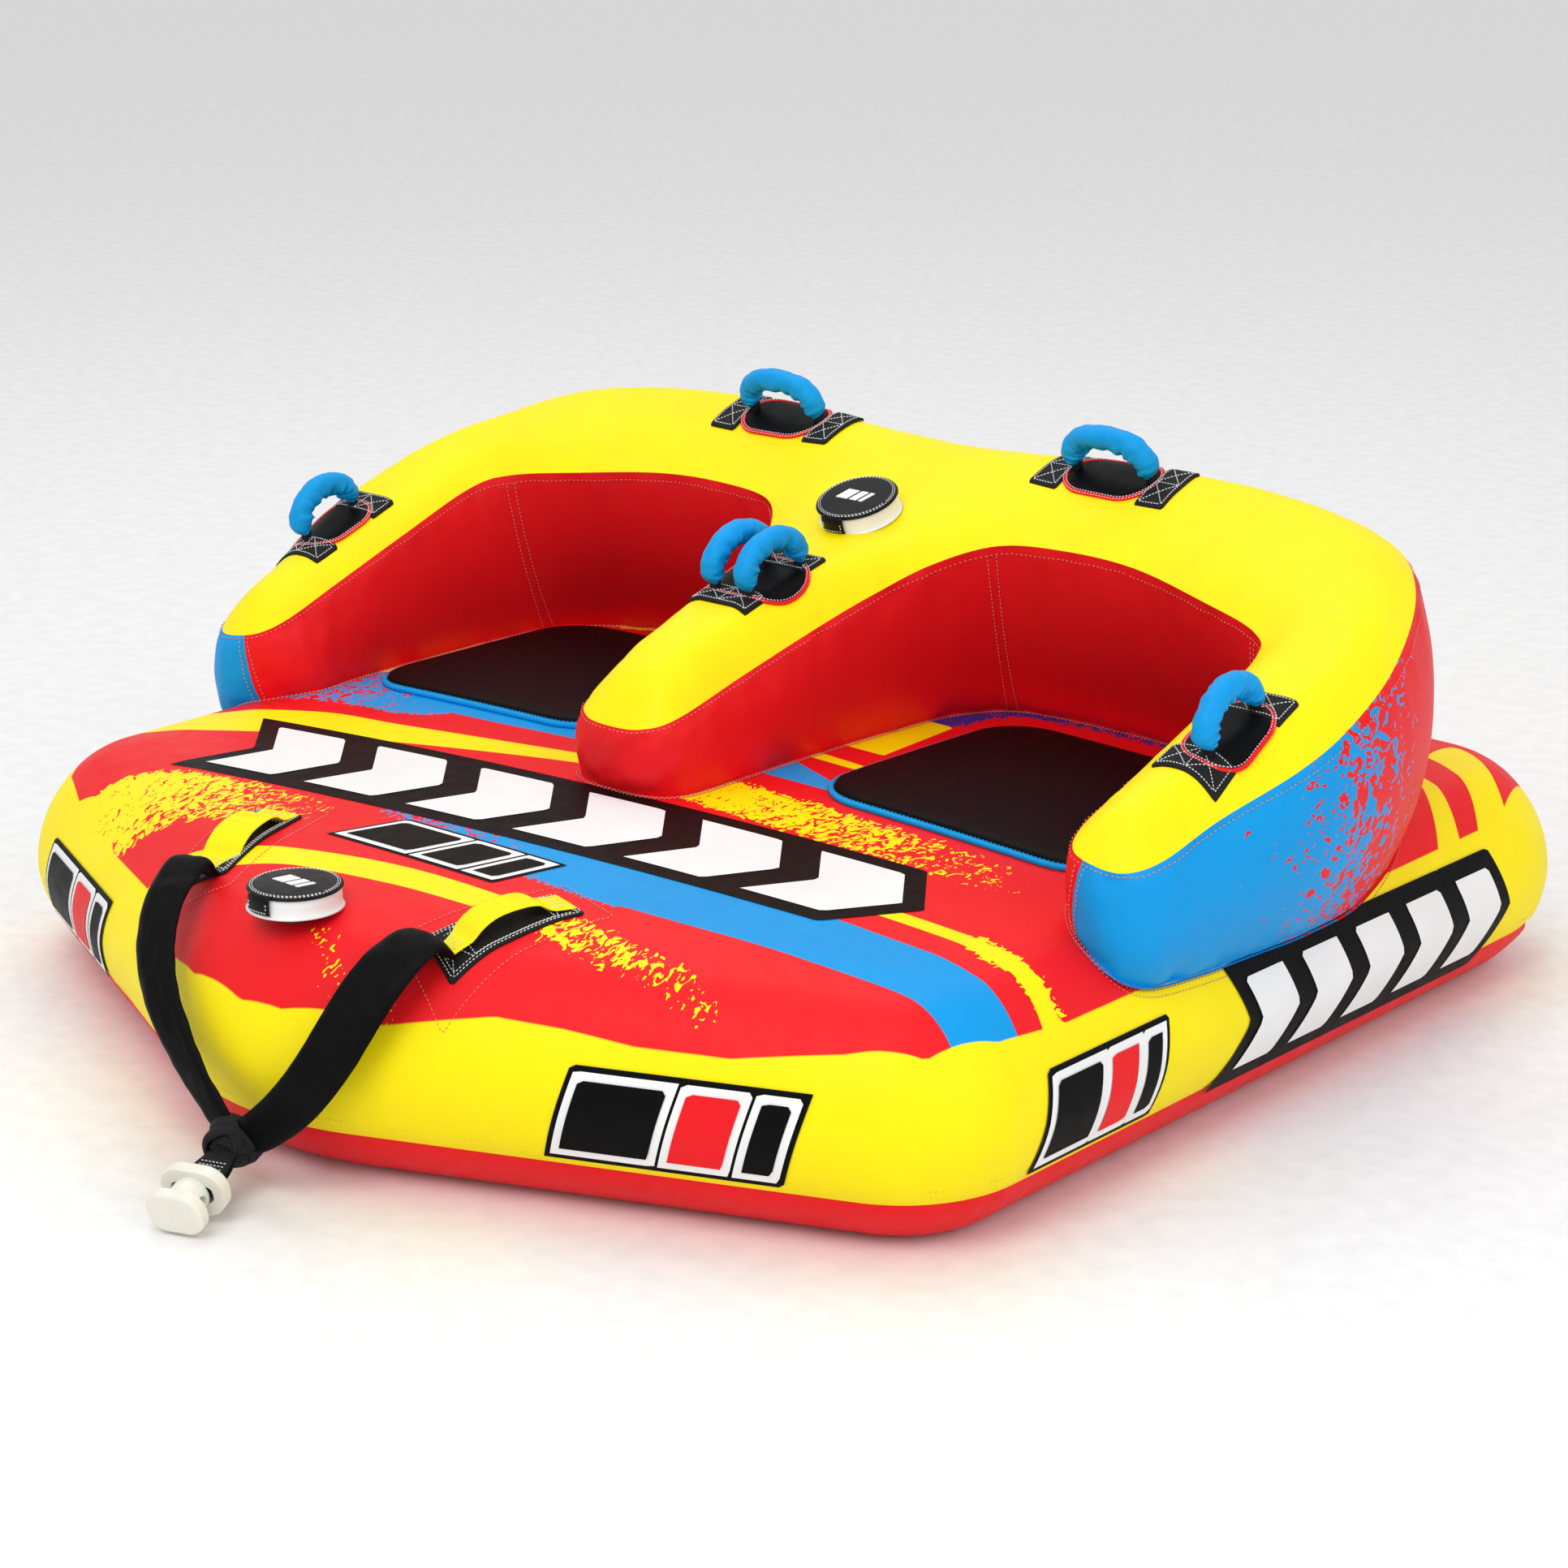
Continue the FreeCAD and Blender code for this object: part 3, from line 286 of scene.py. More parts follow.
def wrinkle(points, outward, along, size, fade):
    """Moves points along their normals in the fine creases that a seam draws into cloth."""
    pattern = np.array([noise.noise(Vector((a * 38, b * 9, 3.1))) + 0.5 * noise.noise(Vector((a * 90, b * 14, 7.7)))
                        for a, b in along])
    return points + outward * (pattern * size * fade)[:, None]


# ---------------------------------------------------------------- materials

class Nodes:
    """Short ways to add shader nodes to one material."""

    def __init__(self, name, roughness):
        self.material = bpy.data.materials.new(name)
        self.material.use_nodes = True
        self.tree = self.material.node_tree
        self.shader = self.tree.nodes["Principled BSDF"]
        self.shader.inputs["Roughness"].default_value = roughness
        self.place = self.tree.nodes.new("ShaderNodeTexCoord").outputs["Object"]

    def node(self, kind, **settings):
        """A new node, with its properties or inputs set by name."""
        made = self.tree.nodes.new(kind)
        for key, value in settings.items():
            if hasattr(made, key):
                setattr(made, key, value)
            else:
                made.inputs[key.replace("_", " ")].default_value = value
        return made

    def link(self, source, target):
        """Joins an output to an input."""
        self.tree.links.new(source, target)

    def feed(self, socket, value):
        """Gives an input another node's output, a colour or a number."""
        if hasattr(value, "links"):
            self.link(value, socket)
        elif isinstance(value, tuple):
            socket.default_value = (*value, 1)
        elif value is not None:
            socket.default_value = value

    def noise(self, scale, detail=2.0, distortion=0.0, place=None):
        """Soft cloudy values about 0.5."""
        made = self.node("ShaderNodeTexNoise")
        made.inputs["Scale"].default_value = scale
        made.inputs["Detail"].default_value = detail
        made.inputs["Distortion"].default_value = distortion
        self.link(place or self.place, made.inputs["Vector"])
        return made.outputs["Fac"]

    def math(self, operation, a, b=None):
        """One sum on numbers or outputs."""
        made = self.node("ShaderNodeMath", operation=operation)
        for socket, value in zip(made.inputs, (a, b)):
            self.feed(socket, value)
        return made.outputs[0]

    def between(self, value, low, high):
        """0 below low, 1 above high."""
        made = self.node("ShaderNodeMapRange")
        self.link(value, made.inputs["Value"])
        for name, limit in (("From Min", low), ("From Max", high)):
            self.feed(made.inputs[name], limit)
        return made.outputs["Result"]

    def mix(self, factor, a, b):
        """Colour a where the factor is 0, and b where it is 1."""
        made = self.node("ShaderNodeMix", data_type="RGBA")
        for socket, value in zip((made.inputs[0], made.inputs[6], made.inputs[7]), (factor, a, b)):
            self.feed(socket, value)
        return made.outputs[2]

    def attribute(self, name):
        """A value kept on the mesh's points."""
        return self.node("ShaderNodeAttribute", attribute_name=name).outputs["Fac"]

    def colour(self, source):
        """Sets the material's colour."""
        self.feed(self.shader.inputs["Base Color"], source)

    def bump(self, height, strength, distance):
        """Adds relief over any the material already has."""
        made = self.node("ShaderNodeBump")
        made.inputs["Strength"].default_value = strength
        made.inputs["Distance"].default_value = distance
        self.link(height, made.inputs["Height"])
        before = self.shader.inputs["Normal"].links
        if before:
            self.link(before[0].from_socket, made.inputs["Normal"])
        self.link(made.outputs["Normal"], self.shader.inputs["Normal"])

    def bands(self, direction, scale):
        """Even waves along one axis."""
        made = self.node("ShaderNodeTexWave", wave_type="BANDS", bands_direction=direction, wave_profile="SIN")
        made.inputs["Scale"].default_value = scale
        self.link(self.place, made.inputs["Vector"])
        return made.outputs["Fac"]

    def weave(self, pitch, strength, distance):
        """The crossing threads of a woven cloth, on whichever way its surface faces."""
        scale = 1 / (pitch * 3.183)
        threads = self.math("ADD", self.math("ADD", self.bands("X", scale), self.bands("Y", scale)),
                            self.bands("Z", scale))
        self.bump(threads, strength, distance)
        return threads

    def worn(self, colour, dark=0.9, scale=9.0):
        """The colour with the slight unevenness of dyed and handled cloth."""
        patch = self.between(self.noise(scale, 4.0), 0.35, 0.75)
        deep = tuple(c * dark for c in colour) if isinstance(colour, tuple) else None
        if deep is None:
            shade = self.node("ShaderNodeHueSaturation", Value=dark)
            self.link(colour, shade.inputs["Color"])
            deep = shade.outputs["Color"]
        return self.mix(patch, colour, deep)


CLOTH_GLOSS, CLOTH_PITCH, CRUMPLE_DEPTH = 0.18, 0.0011, 0.004
WEAVE_STRENGTH, WEAVE_DEPTH = 0.14, 0.0003


def nylon(made, crumple_scale, crumple, pitch=CLOTH_PITCH):
    """The soft crumples and fine weave of coated nylon."""
    made.bump(made.noise(crumple_scale, 3.0, 0.4), crumple, CRUMPLE_DEPTH)
    made.weave(pitch, WEAVE_STRENGTH, WEAVE_DEPTH)


def uneven_gloss(made):
    """Duller and glossier patches of handled cloth."""
    made.link(made.between(made.noise(40.0, 3.0), -1.2, 2.4), made.shader.inputs["Roughness"])


def cloth(name, colour, roughness=0.46, pitch=CLOTH_PITCH, crumple=0.18, gloss=CLOTH_GLOSS):
    """Coated nylon: fine weave, soft crumples and a faint unevenness of colour."""
    made = Nodes(name, roughness)
    made.shader.inputs["Specular IOR Level"].default_value = gloss
    made.colour(made.worn(colour, 0.93))
    nylon(made, 26.0, crumple, pitch)
    uneven_gloss(made)
    return made.material


def webbing(name, colour, across=0.0016):
    """Ribbed polyester webbing with fuzzy threads, and a painted highlight that lightens the crests of its ribs."""
    made = Nodes(name, 0.62)
    made.shader.inputs["Specular IOR Level"].default_value = 0.18
    threads = made.weave(across, 0.5, 0.0007)
    # painted highlight: the colour is lightened on the raised crests of the woven threads
    crest_highlight = tuple(min(1.0, c * 1.5 + 0.012) for c in colour)
    made.colour(made.mix(made.between(threads, 1.2, 2.6), colour, crest_highlight))
    made.bump(made.noise(420.0, 2.0), 0.25, 0.0004)
    return made.material


def moulded(name, colour, roughness=0.35, grain=0.05, **sockets):
    """Moulded plastic or vinyl with a faint grain and handling marks."""
    made = Nodes(name, roughness)
    for key, value in sockets.items():
        made.shader.inputs[key.replace("_", " ")].default_value = value
    made.colour(made.worn(colour, 0.92, 30.0))
    made.bump(made.noise(700.0, 3.0), grain, 0.0004)
    made.bump(made.noise(45.0, 2.0), 0.06, 0.002)
    made.link(made.between(made.noise(60.0, 4.0), 0.0 - roughness, 2.6 - roughness), made.shader.inputs["Roughness"])
    return made.material


def speckle(made, density, scale=92.0):
    """Short torn strokes that close up as the density rises from 0 to 1."""
    squash = made.node("ShaderNodeMapping")
    squash.inputs["Scale"].default_value = (1.0, 0.62, 0.75)
    squash.inputs["Rotation"].default_value = (0.0, 0.0, 0.5)
    made.link(made.place, squash.inputs["Vector"])
    pattern = made.noise(scale, 1.0, 1.6, squash.outputs["Vector"])
    limit = made.math("SUBTRACT", 0.74, made.math("MULTIPLY", density, 0.46))
    return made.between(pattern, limit, made.math("ADD", limit, 0.012))


def printed_deck():
    """Red nylon printed with yellow and blue; zones are edges of signed distance, speckles are densities."""
    made = Nodes("deck_print", 0.46)
    made.shader.inputs["Specular IOR Level"].default_value = CLOTH_GLOSS
    edge = 0.0006
    ground = made.mix(speckle(made, made.attribute("dark_speckle")), RED, (0.05, 0.03, 0.3))
    ground = made.mix(speckle(made, made.attribute("yellow_speckle")), ground, YELLOW)
    ground = made.mix(speckle(made, made.attribute("blue_speckle")), ground, BLUE)
    ground = made.mix(made.between(made.attribute("yellow_zone"), -edge, edge), ground, YELLOW)
    ground = made.mix(made.between(made.attribute("red_zone"), -edge, edge), ground, RED)
    ground = made.mix(made.between(made.attribute("blue_zone"), -edge, edge), ground, BLUE)
    ground = made.mix(made.between(made.attribute("inside_edge"), -edge, edge), YELLOW, ground)
    made.colour(made.worn(ground, 0.94))
    nylon(made, 22.0, 0.16)
    uneven_gloss(made)
    return made.material


def printed_wall():
    """The bolster's outer wall: blue at the arms' fronts, breaking up into red towards the back."""
    made = Nodes("outer_print", 0.46)
    made.shader.inputs["Specular IOR Level"].default_value = CLOTH_GLOSS
    blue = speckle(made, made.attribute("blue_share"), 74.0)
    made.colour(made.worn(made.mix(blue, RED, BLUE), 0.93))
    nylon(made, 26.0, 0.2)
    return made.material


RED_CLOTH = cloth("red_cloth", RED)
YELLOW_CLOTH = cloth("yellow_cloth", YELLOW)
DECK_PRINT = printed_deck()
OUTER_PRINT = printed_wall()
SEAT_CLOTH = cloth("seat_cloth", (0.0035, 0.0035, 0.004), 0.7, 0.0016, 0.08, 0.06)
BLUE_PIPING = webbing("blue_piping", BLUE, 0.0012)
BLUE_NYLON = cloth("blue_nylon", BLUE, 0.5, 0.001, 0.5)
BLACK_WEBBING = webbing("black_webbing", (0.006, 0.006, 0.007))
YELLOW_WEBBING = webbing("yellow_webbing", YELLOW, 0.0018)
RED_BINDING = webbing("red_binding", RED, 0.0012)
THREAD = webbing("white_thread", WHITE, 0.0006)
RED_THREAD = webbing("red_thread", (0.95, 0.25, 0.22), 0.0006)
INK = cloth("black_print", (0.0025, 0.0025, 0.003), 0.46, gloss=0.07)
WHITE_INK = cloth("white_print", WHITE, 0.46)
WHITE_VINYL = moulded("white_vinyl", (0.84, 0.84, 0.83), 0.42)
BLACK_VINYL = moulded("black_vinyl", (0.004, 0.004, 0.005), 0.4, Specular_IOR_Level=0.12)
VALVE_PLASTIC = moulded("valve_plastic", (0.02, 0.021, 0.023), 0.4, 0.1)
MILKY = moulded("milky_plastic", (0.8, 0.79, 0.7), 0.36, 0.06, Subsurface_Weight=0.25, Subsurface_Scale=0.02)
BLADDER = moulded("bladder_vinyl", (0.02, 0.02, 0.022), 0.3)
ZIP_TAPE = webbing("zipper_tape", (0.012, 0.012, 0.013), 0.0012)
TEETH = moulded("zipper_teeth", (0.03, 0.03, 0.032), 0.3)
METAL = moulded("zipper_metal", (0.56, 0.56, 0.57), 0.3, 0.04, Metallic=1.0)
FLOOR = moulded("floor_paint", (0.9, 0.9, 0.9), 0.85, 0.02)

# ---------------------------------------------------------------- sewing


def join_close(piece, gap=2e-5):
    """Merges points that lie on each other and faces every side outwards."""
    work = bmesh.new()
    work.from_mesh(piece.data)
    bmesh.ops.remove_doubles(work, verts=work.verts, dist=gap)
    bmesh.ops.recalc_face_normals(work, faces=work.faces)
    work.to_mesh(piece.data)
    work.free()


THREAD_HEIGHT = 0.0007


def stitches(name, lines, material, body=HULL, pitch=0.0062, length=0.004, width=0.0011):
    """Rows of thread: each line is points along a seam and the surface's normal at each of them."""
    points, faces = [], []
    for path, normals in lines:
        path, normals = np.asarray(path, float), np.asarray(normals, float)
        steps = np.linalg.norm(np.diff(path, axis=0), axis=1)
        reach = np.concatenate([[0], np.cumsum(steps)])
        for start in np.arange(pitch * 0.3, reach[-1] - length, pitch):
            ends = []
            for at in (start, start + length):
                ends.append([np.array([np.interp(at, reach, column[:, i]) for i in range(3)])
                             for column in (path, normals)])
            (p0, n0), (p1, _) = ends
            ahead = (p1 - p0) / (np.linalg.norm(p1 - p0) + 1e-9)
            up = n0 / (np.linalg.norm(n0) + 1e-9)
            side = np.cross(ahead, up) * width / 2
            first = len(points)
            middle = (p0 + p1) / 2 + up * THREAD_HEIGHT
            points += [p0, middle + side - ahead * length * 0.3, middle - side - ahead * length * 0.3,
                       middle + side + ahead * length * 0.3, middle - side + ahead * length * 0.3, p1]
            points += [middle - up * THREAD_HEIGHT * 1.4 + side * 1.1, middle - up * THREAD_HEIGHT * 1.4 - side * 1.1]
            a = first
            faces += [(a, a + 1, a + 2), (a + 1, a + 3, a + 4, a + 2), (a + 3, a + 5, a + 4),
                      (a, a + 6, a + 5, a + 3, a + 1), (a, a + 2, a + 4, a + 5, a + 7)]
    add_mesh(name, points, faces, material, body)


def row_of(path, up):
    """A seam line whose surface faces the same way all along."""
    return path, np.tile(up, (len(path), 1))


def closed_row(path, up):
    """The same, for a line that ends where it starts."""
    return row_of(np.vstack([path, path[:1]]), up)


def spots_row(spots):
    """A seam line from pairs of a point and its normal."""
    return [p for p, _ in spots], [n for _, n in spots]


def straight(a, b):
    """Points along a straight line of stitches."""
    return np.linspace(np.asarray(a, float), np.asarray(b, float), 20)


# ---------------------------------------------------------------- base cover

SEAM_ANGLE = -math.asin((1 - SEAM_HEIGHT / (THICKNESS / 2)) ** (SIDE_POWER / 2))
base_along = np.arange(len(base_loop)) * BASE_SPACING
base_outward = np.column_stack([base_normals, np.zeros(len(base_loop))])
corner_bend = np.abs(np.cross(np.roll(base_normals, -3, axis=0), np.roll(base_normals, 3, axis=0)))
PUCKER = 0.35 + 0.65 * np.clip(corner_bend / 0.3, 0, 1)


def side_profile(angles):
    """Rings of the base's side, with the creases that its sewn edge and its corners draw into the cloth."""
    rings = []
    for angle in angles:
        loop, height, inset = side_ring(angle)
        swell = crown(loop[:, 0], loop[:, 1]) * smooth_step(CROWN_START, CROWN_FULL, inset) if angle > 0 else 0.0
        ring = lift(loop, height + swell)
        gap = abs(height - SEAM_HEIGHT)
        along = np.column_stack([base_along, np.full(len(ring), height)])
        fade = (np.exp(-gap / 0.035) + 0.12) * smooth_step(0.0, 0.007, gap) * PUCKER
        ring = wrinkle(ring, base_outward, along, 0.0046, fade * smooth_step(0.27, 0.18, height))
        rings.append(ring - base_outward * 0.004 * math.exp(-gap / 0.007))
    return rings


ARTWORK_SCALE, ARTWORK_SHIFT, ARTWORK_FOOT = 1.045, -0.188, 0.17
LEAST_DENSITY = 0.03


def artwork(points):
    """Plan points of the printed artwork, laid out on the deck."""
    return np.array(points, float) * ARTWORK_SCALE + (0.0, ARTWORK_SHIFT)


def drawn(corners, soft=True):
    """A printed shape's outline, curved through its points or straight between them."""
    outline = artwork(corners)
    return catmull(outline, 8) if soft else resample(outline, 0.01)


INSIDE_EDGE = np.array([
    (0.757, 0.61), (0.758, 0.3), (0.76, 0.0), (0.759, -0.3), (0.752, -0.405), (0.722, -0.488), (0.65, -0.535),
    (0.542, -0.594), (0.442, -0.637), (0.366, -0.664), (0.29, -0.694), (0.18, -0.756), (0.061, -0.797),
    (0.0, -0.804), (-0.101, -0.788), (-0.19, -0.755), (-0.235, -0.715), (-0.44, -0.628), (-0.56, -0.578),
    (-0.69, -0.5), (-0.752, -0.405), (-0.759, -0.3), (-0.76, 0.0), (-0.758, 0.3), (-0.757, 0.61),
    (-0.715, 0.735), (-0.6, 0.785), (0.0, 0.785), (0.6, 0.785), (0.715, 0.735)])[::-1]
YELLOW_ZONES = [
    drawn([(-0.75, -0.2), (-0.62, -0.165), (-0.54, -0.125), (-0.45, -0.085), (-0.1, 0.03), (0.0, 0.03), (0.0, 0.09),
           (-0.1, 0.065), (-0.25, 0.035), (-0.4, 0.01), (-0.52, -0.005), (-0.66, -0.07), (-0.78, -0.12)]),
    drawn([(0.28, -0.125), (0.4, -0.105), (0.52, -0.098), (0.64, -0.098), (0.7, -0.103), (0.78, -0.145),
           (0.78, -0.165), (0.7, -0.13), (0.62, -0.122), (0.5, -0.122), (0.38, -0.13), (0.27, -0.148)]),
    drawn([(-0.305, -0.56), (-0.305, -0.49), (-0.28, -0.45), (-0.21, -0.425), (-0.1, -0.385), (0.0, -0.362),
           (0.1, -0.355), (0.2, -0.36), (0.2, -0.392), (0.05, -0.405), (-0.1, -0.435), (-0.2, -0.47),
           (-0.235, -0.52), (-0.24, -0.6)]),
    drawn([(-0.6, -0.34), (-0.545, -0.345), (-0.5, -0.4), (-0.44, -0.41), (-0.4, -0.46), (-0.4, -0.53),
           (-0.5, -0.52), (-0.7, -0.42), (-0.66, -0.36)]),
    drawn([(0.045, 0.235), (0.16, 0.232), (0.16, 0.25), (0.045, 0.258)], False),
    drawn([(0.04, 0.3), (0.145, 0.3), (0.13, 0.455), (0.04, 0.455)], False),
    drawn([(0.375, 0.152), (0.44, 0.156), (0.52, 0.153), (0.535, 0.125), (0.45, 0.132)], False),
    drawn([(-0.44, 0.165), (-0.36, 0.185), (-0.24, 0.19), (-0.26, 0.168), (-0.38, 0.15), (-0.43, 0.152)], False),
    drawn([(-0.655, 0.255), (-0.61, 0.27), (-0.6, 0.36), (-0.64, 0.385), (-0.66, 0.33)], False),
    drawn([(-0.635, 0.18), (-0.585, 0.2), (-0.6, 0.235), (-0.64, 0.225)], False),
    drawn([(-0.66, 0.56), (-0.5, 0.565), (-0.4, 0.59), (-0.4, 0.66), (-0.56, 0.65), (-0.66, 0.61)], False),
    drawn([(0.06, 0.615), (0.2, 0.63), (0.45, 0.62), (0.62, 0.59), (0.64, 0.62), (0.44, 0.665), (0.18, 0.665),
           (0.07, 0.645)]),
    drawn([(0.6, 0.86), (0.7, 0.8), (0.8, 0.7), (0.9, 0.5), (0.8, 0.52), (0.72, 0.63), (0.62, 0.74)]),
    drawn([(-0.6, 0.86), (-0.62, 0.74), (-0.72, 0.63), (-0.8, 0.52), (-0.9, 0.5), (-0.8, 0.7), (-0.7, 0.8)]),
]
RED_ZONES = [
    drawn([(-0.4, -0.5), (-0.395, -0.44), (-0.35, -0.405), (-0.27, -0.385), (-0.2, -0.395), (-0.235, -0.43),
           (-0.275, -0.45), (-0.305, -0.49), (-0.305, -0.54)]),
    drawn([(0.6, 0.79), (0.69, 0.748), (0.775, 0.652), (0.8, 0.6), (0.745, 0.655), (0.67, 0.71),
           (0.6, 0.74)]),
    drawn([(0.64, 0.7), (0.7, 0.645), (0.745, 0.59), (0.735, 0.58), (0.68, 0.625), (0.63, 0.67)]),
    drawn([(-0.6, 0.74), (-0.67, 0.71), (-0.745, 0.655), (-0.8, 0.6), (-0.775, 0.652), (-0.69, 0.748),
           (-0.6, 0.79)]),
]
BLUE_ZONES = [
    drawn([(0.12, -0.225), (0.2, -0.197), (0.4, -0.165), (0.55, -0.163), (0.66, -0.165), (0.74, -0.185),
           (0.82, -0.235), (0.82, -0.315), (0.74, -0.275), (0.66, -0.254), (0.5, -0.268), (0.3, -0.29),
           (0.16, -0.292)]),
    drawn([(0.042, 0.225), (0.24, 0.15), (0.042, 0.145)], False),
    drawn([(-0.46, 0.085), (-0.3, 0.09), (-0.1, 0.105), (-0.1, 0.205), (-0.3, 0.2), (-0.4, 0.155),
           (-0.46, 0.15)], False),
]
YELLOW_SPECKLES = [
    (drawn([(0.03, 0.015), (0.5, 0.012), (0.52, 0.085), (0.35, 0.102), (0.03, 0.092)]), (-0.05, 0.05), (0.55, 0.05)),
    (drawn([(-0.56, -0.36), (-0.52, -0.3), (-0.4, -0.27), (-0.22, -0.262), (-0.21, -0.33), (-0.34, -0.395),
            (-0.46, -0.44), (-0.53, -0.42)]), (-0.62, -0.38), (-0.16, -0.28)),
    (drawn([(0.17, -0.352), (0.3, -0.348), (0.46, -0.355), (0.48, -0.385), (0.3, -0.398), (0.17, -0.4)]),
     (0.05, -0.38), (0.5, -0.37)),
    (drawn([(0.05, -0.515), (0.22, -0.535), (0.4, -0.548), (0.55, -0.545), (0.42, -0.605), (0.3, -0.615),
            (0.18, -0.575), (0.08, -0.55)]), (0.45, -0.64), (0.25, -0.5)),
    (drawn([(0.6, -0.095), (0.72, -0.1), (0.84, -0.155), (0.84, -0.2), (0.72, -0.135), (0.62, -0.125)]),
     (0.58, -0.11), (0.95, -0.16)),
    (drawn([(-0.665, 0.36), (-0.6, 0.38), (-0.6, 0.52), (-0.5, 0.565), (-0.52, 0.62), (-0.65, 0.6),
            (-0.68, 0.48)]), (-0.64, 0.66), (-0.64, 0.34)),
]
BLUE_SPECKLES = [
    (drawn([(-0.66, 0.02), (-0.55, 0.035), (-0.4, 0.065), (-0.4, 0.17), (-0.46, 0.2), (-0.63, 0.205),
            (-0.66, 0.1)]), (-0.36, 0.12), (-0.74, 0.1)),
    (drawn([(-0.15, -0.225), (0.0, -0.205), (0.2, -0.195), (0.28, -0.205), (0.28, -0.29), (0.1, -0.293),
            (-0.12, -0.262)]), (0.16, -0.24), (-0.22, -0.24)),
]
DARK_SPECKLES = [
    (drawn([(0.045, 0.455), (0.128, 0.455), (0.135, 0.52), (0.19, 0.565), (0.38, 0.572), (0.6, 0.545), (0.62, 0.59),
            (0.4, 0.625), (0.18, 0.628), (0.08, 0.6)]), (0.05, 0.46), (0.6, 0.62)),
]


def zone(points, loops):
    """Signed distance to the nearest of several printed shapes, positive inside."""
    return np.max([depth_in(points, loop) for loop in loops], axis=0)


def density(points, shapes):
    """How full a speckled print is, from its full end to its thin end."""
    out = np.zeros(len(points))
    for loop, full, thin in shapes:
        start, end = artwork([full, thin])
        run = end - start
        share = 1.15 - 0.95 * np.clip(((points - start) @ run) / (run @ run), 0, 1)
        out = np.maximum(out, share * smooth_step(-0.012, 0.012, depth_in(points, loop)))
    return np.where(out < LEAST_DENSITY, -1.0, out)


def print_artwork(piece, points):
    """Gives a piece the distances and densities that its printed cloth is coloured by."""
    plan = points[:, :2]
    high = points[:, 2] - ARTWORK_FOOT
    give_value(piece, "inside_edge", np.minimum(depth_in(plan, INSIDE_EDGE), high))
    for name, loops in (("yellow_zone", YELLOW_ZONES), ("red_zone", RED_ZONES), ("blue_zone", BLUE_ZONES)):
        give_value(piece, name, zone(plan, loops))
    for name, shapes in (("yellow_speckle", YELLOW_SPECKLES), ("blue_speckle", BLUE_SPECKLES),
                         ("dark_speckle", DARK_SPECKLES)):
        give_value(piece, name, density(plan, shapes))


def points_of(piece):
    """Where a piece's points are."""
    found = np.empty(len(piece.data.vertices) * 3)
    piece.data.vertices.foreach_get("co", found)
    return found.reshape(-1, 3)


def make_base():
    """The deck with its side, the bottom panel, and the bladder inside them."""
    rings = side_profile(np.linspace(SEAM_ANGLE, math.pi / 2, 34))
    plan, triangles = fill(rings[-1][:, :2], 0.0075)
    deck = lift(plan, deck_height(plan))
    start = len(rings) * len(base_loop)
    faces = ring_faces(len(rings), len(base_loop)) + [[start + i for i in t] for t in triangles]
    top = add_mesh("deck_cover", np.vstack(rings + [deck]), faces, DECK_PRINT)
    join_close(top)
    print_artwork(top, points_of(top))
    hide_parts("base_cover_deck")

    rings = side_profile(np.linspace(SEAM_ANGLE, -math.pi / 2, 14))
    plan, triangles = fill(rings[-1][:, :2], 0.04)
    start = len(rings) * len(base_loop)
    faces = ring_faces(len(rings), len(base_loop), flip=True) + [[start + i for i in t] for t in triangles]
    bottom = add_mesh("bottom_cover", np.vstack(rings + [lift(plan, 0.0)]), faces, RED_CLOTH)
    join_close(bottom)
    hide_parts("base_cover_bottom")

    rings = []
    for angle in np.linspace(-math.pi / 2, math.pi / 2, 12):
        loop, height, _ = side_ring(angle)
        rings.append(lift(loop - base_normals * 0.006, 0.004 + height * 0.96))
    count = len(base_loop)
    faces = ring_faces(len(rings), count)
    faces += end_caps(len(rings), count)
    bag = add_mesh("base_bag", np.vstack(rings), faces, BLADDER)
    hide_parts("base_bladder")


def side_point(along, height, off=0.0009):
    """A point on the base's side, a little off its cloth, from how far round and how high it is."""
    lean = math.copysign(min(1.0, abs(height / (THICKNESS / 2) - 1)) ** (SIDE_POWER / 2), height - THICKNESS / 2)
    inset = EDGE_INSET * (1 - math.cos(math.asin(lean)) ** (2 / SIDE_POWER))
    spot = (along / BASE_SPACING) % len(base_loop)
    i, t = int(spot), spot % 1
    j = (i + 1) % len(base_loop)
    plan = base_loop[i] * (1 - t) + base_loop[j] * t
    out = base_normals[i] * (1 - t) + base_normals[j] * t
    tilt = math.asin(lean) * 0.9
    normal = np.array((out[0] * math.cos(tilt), out[1] * math.cos(tilt), math.sin(tilt)))
    spot3 = np.array((*(plan - out * inset), height))
    return spot3 + normal * off, normal


make_base()

seam_rows = []
for lift_by in (0.01, 0.019):
    path = [side_point(s, SEAM_HEIGHT + lift_by, -0.0022 + 0.0015 * (lift_by > 0.015)) for s in base_along[::2]]
    seam_rows.append(spots_row(path + path[:1]))
stitches("base_seam_stitches", seam_rows, YELLOW_WEBBING, pitch=0.007)

# ---------------------------------------------------------------- bolster

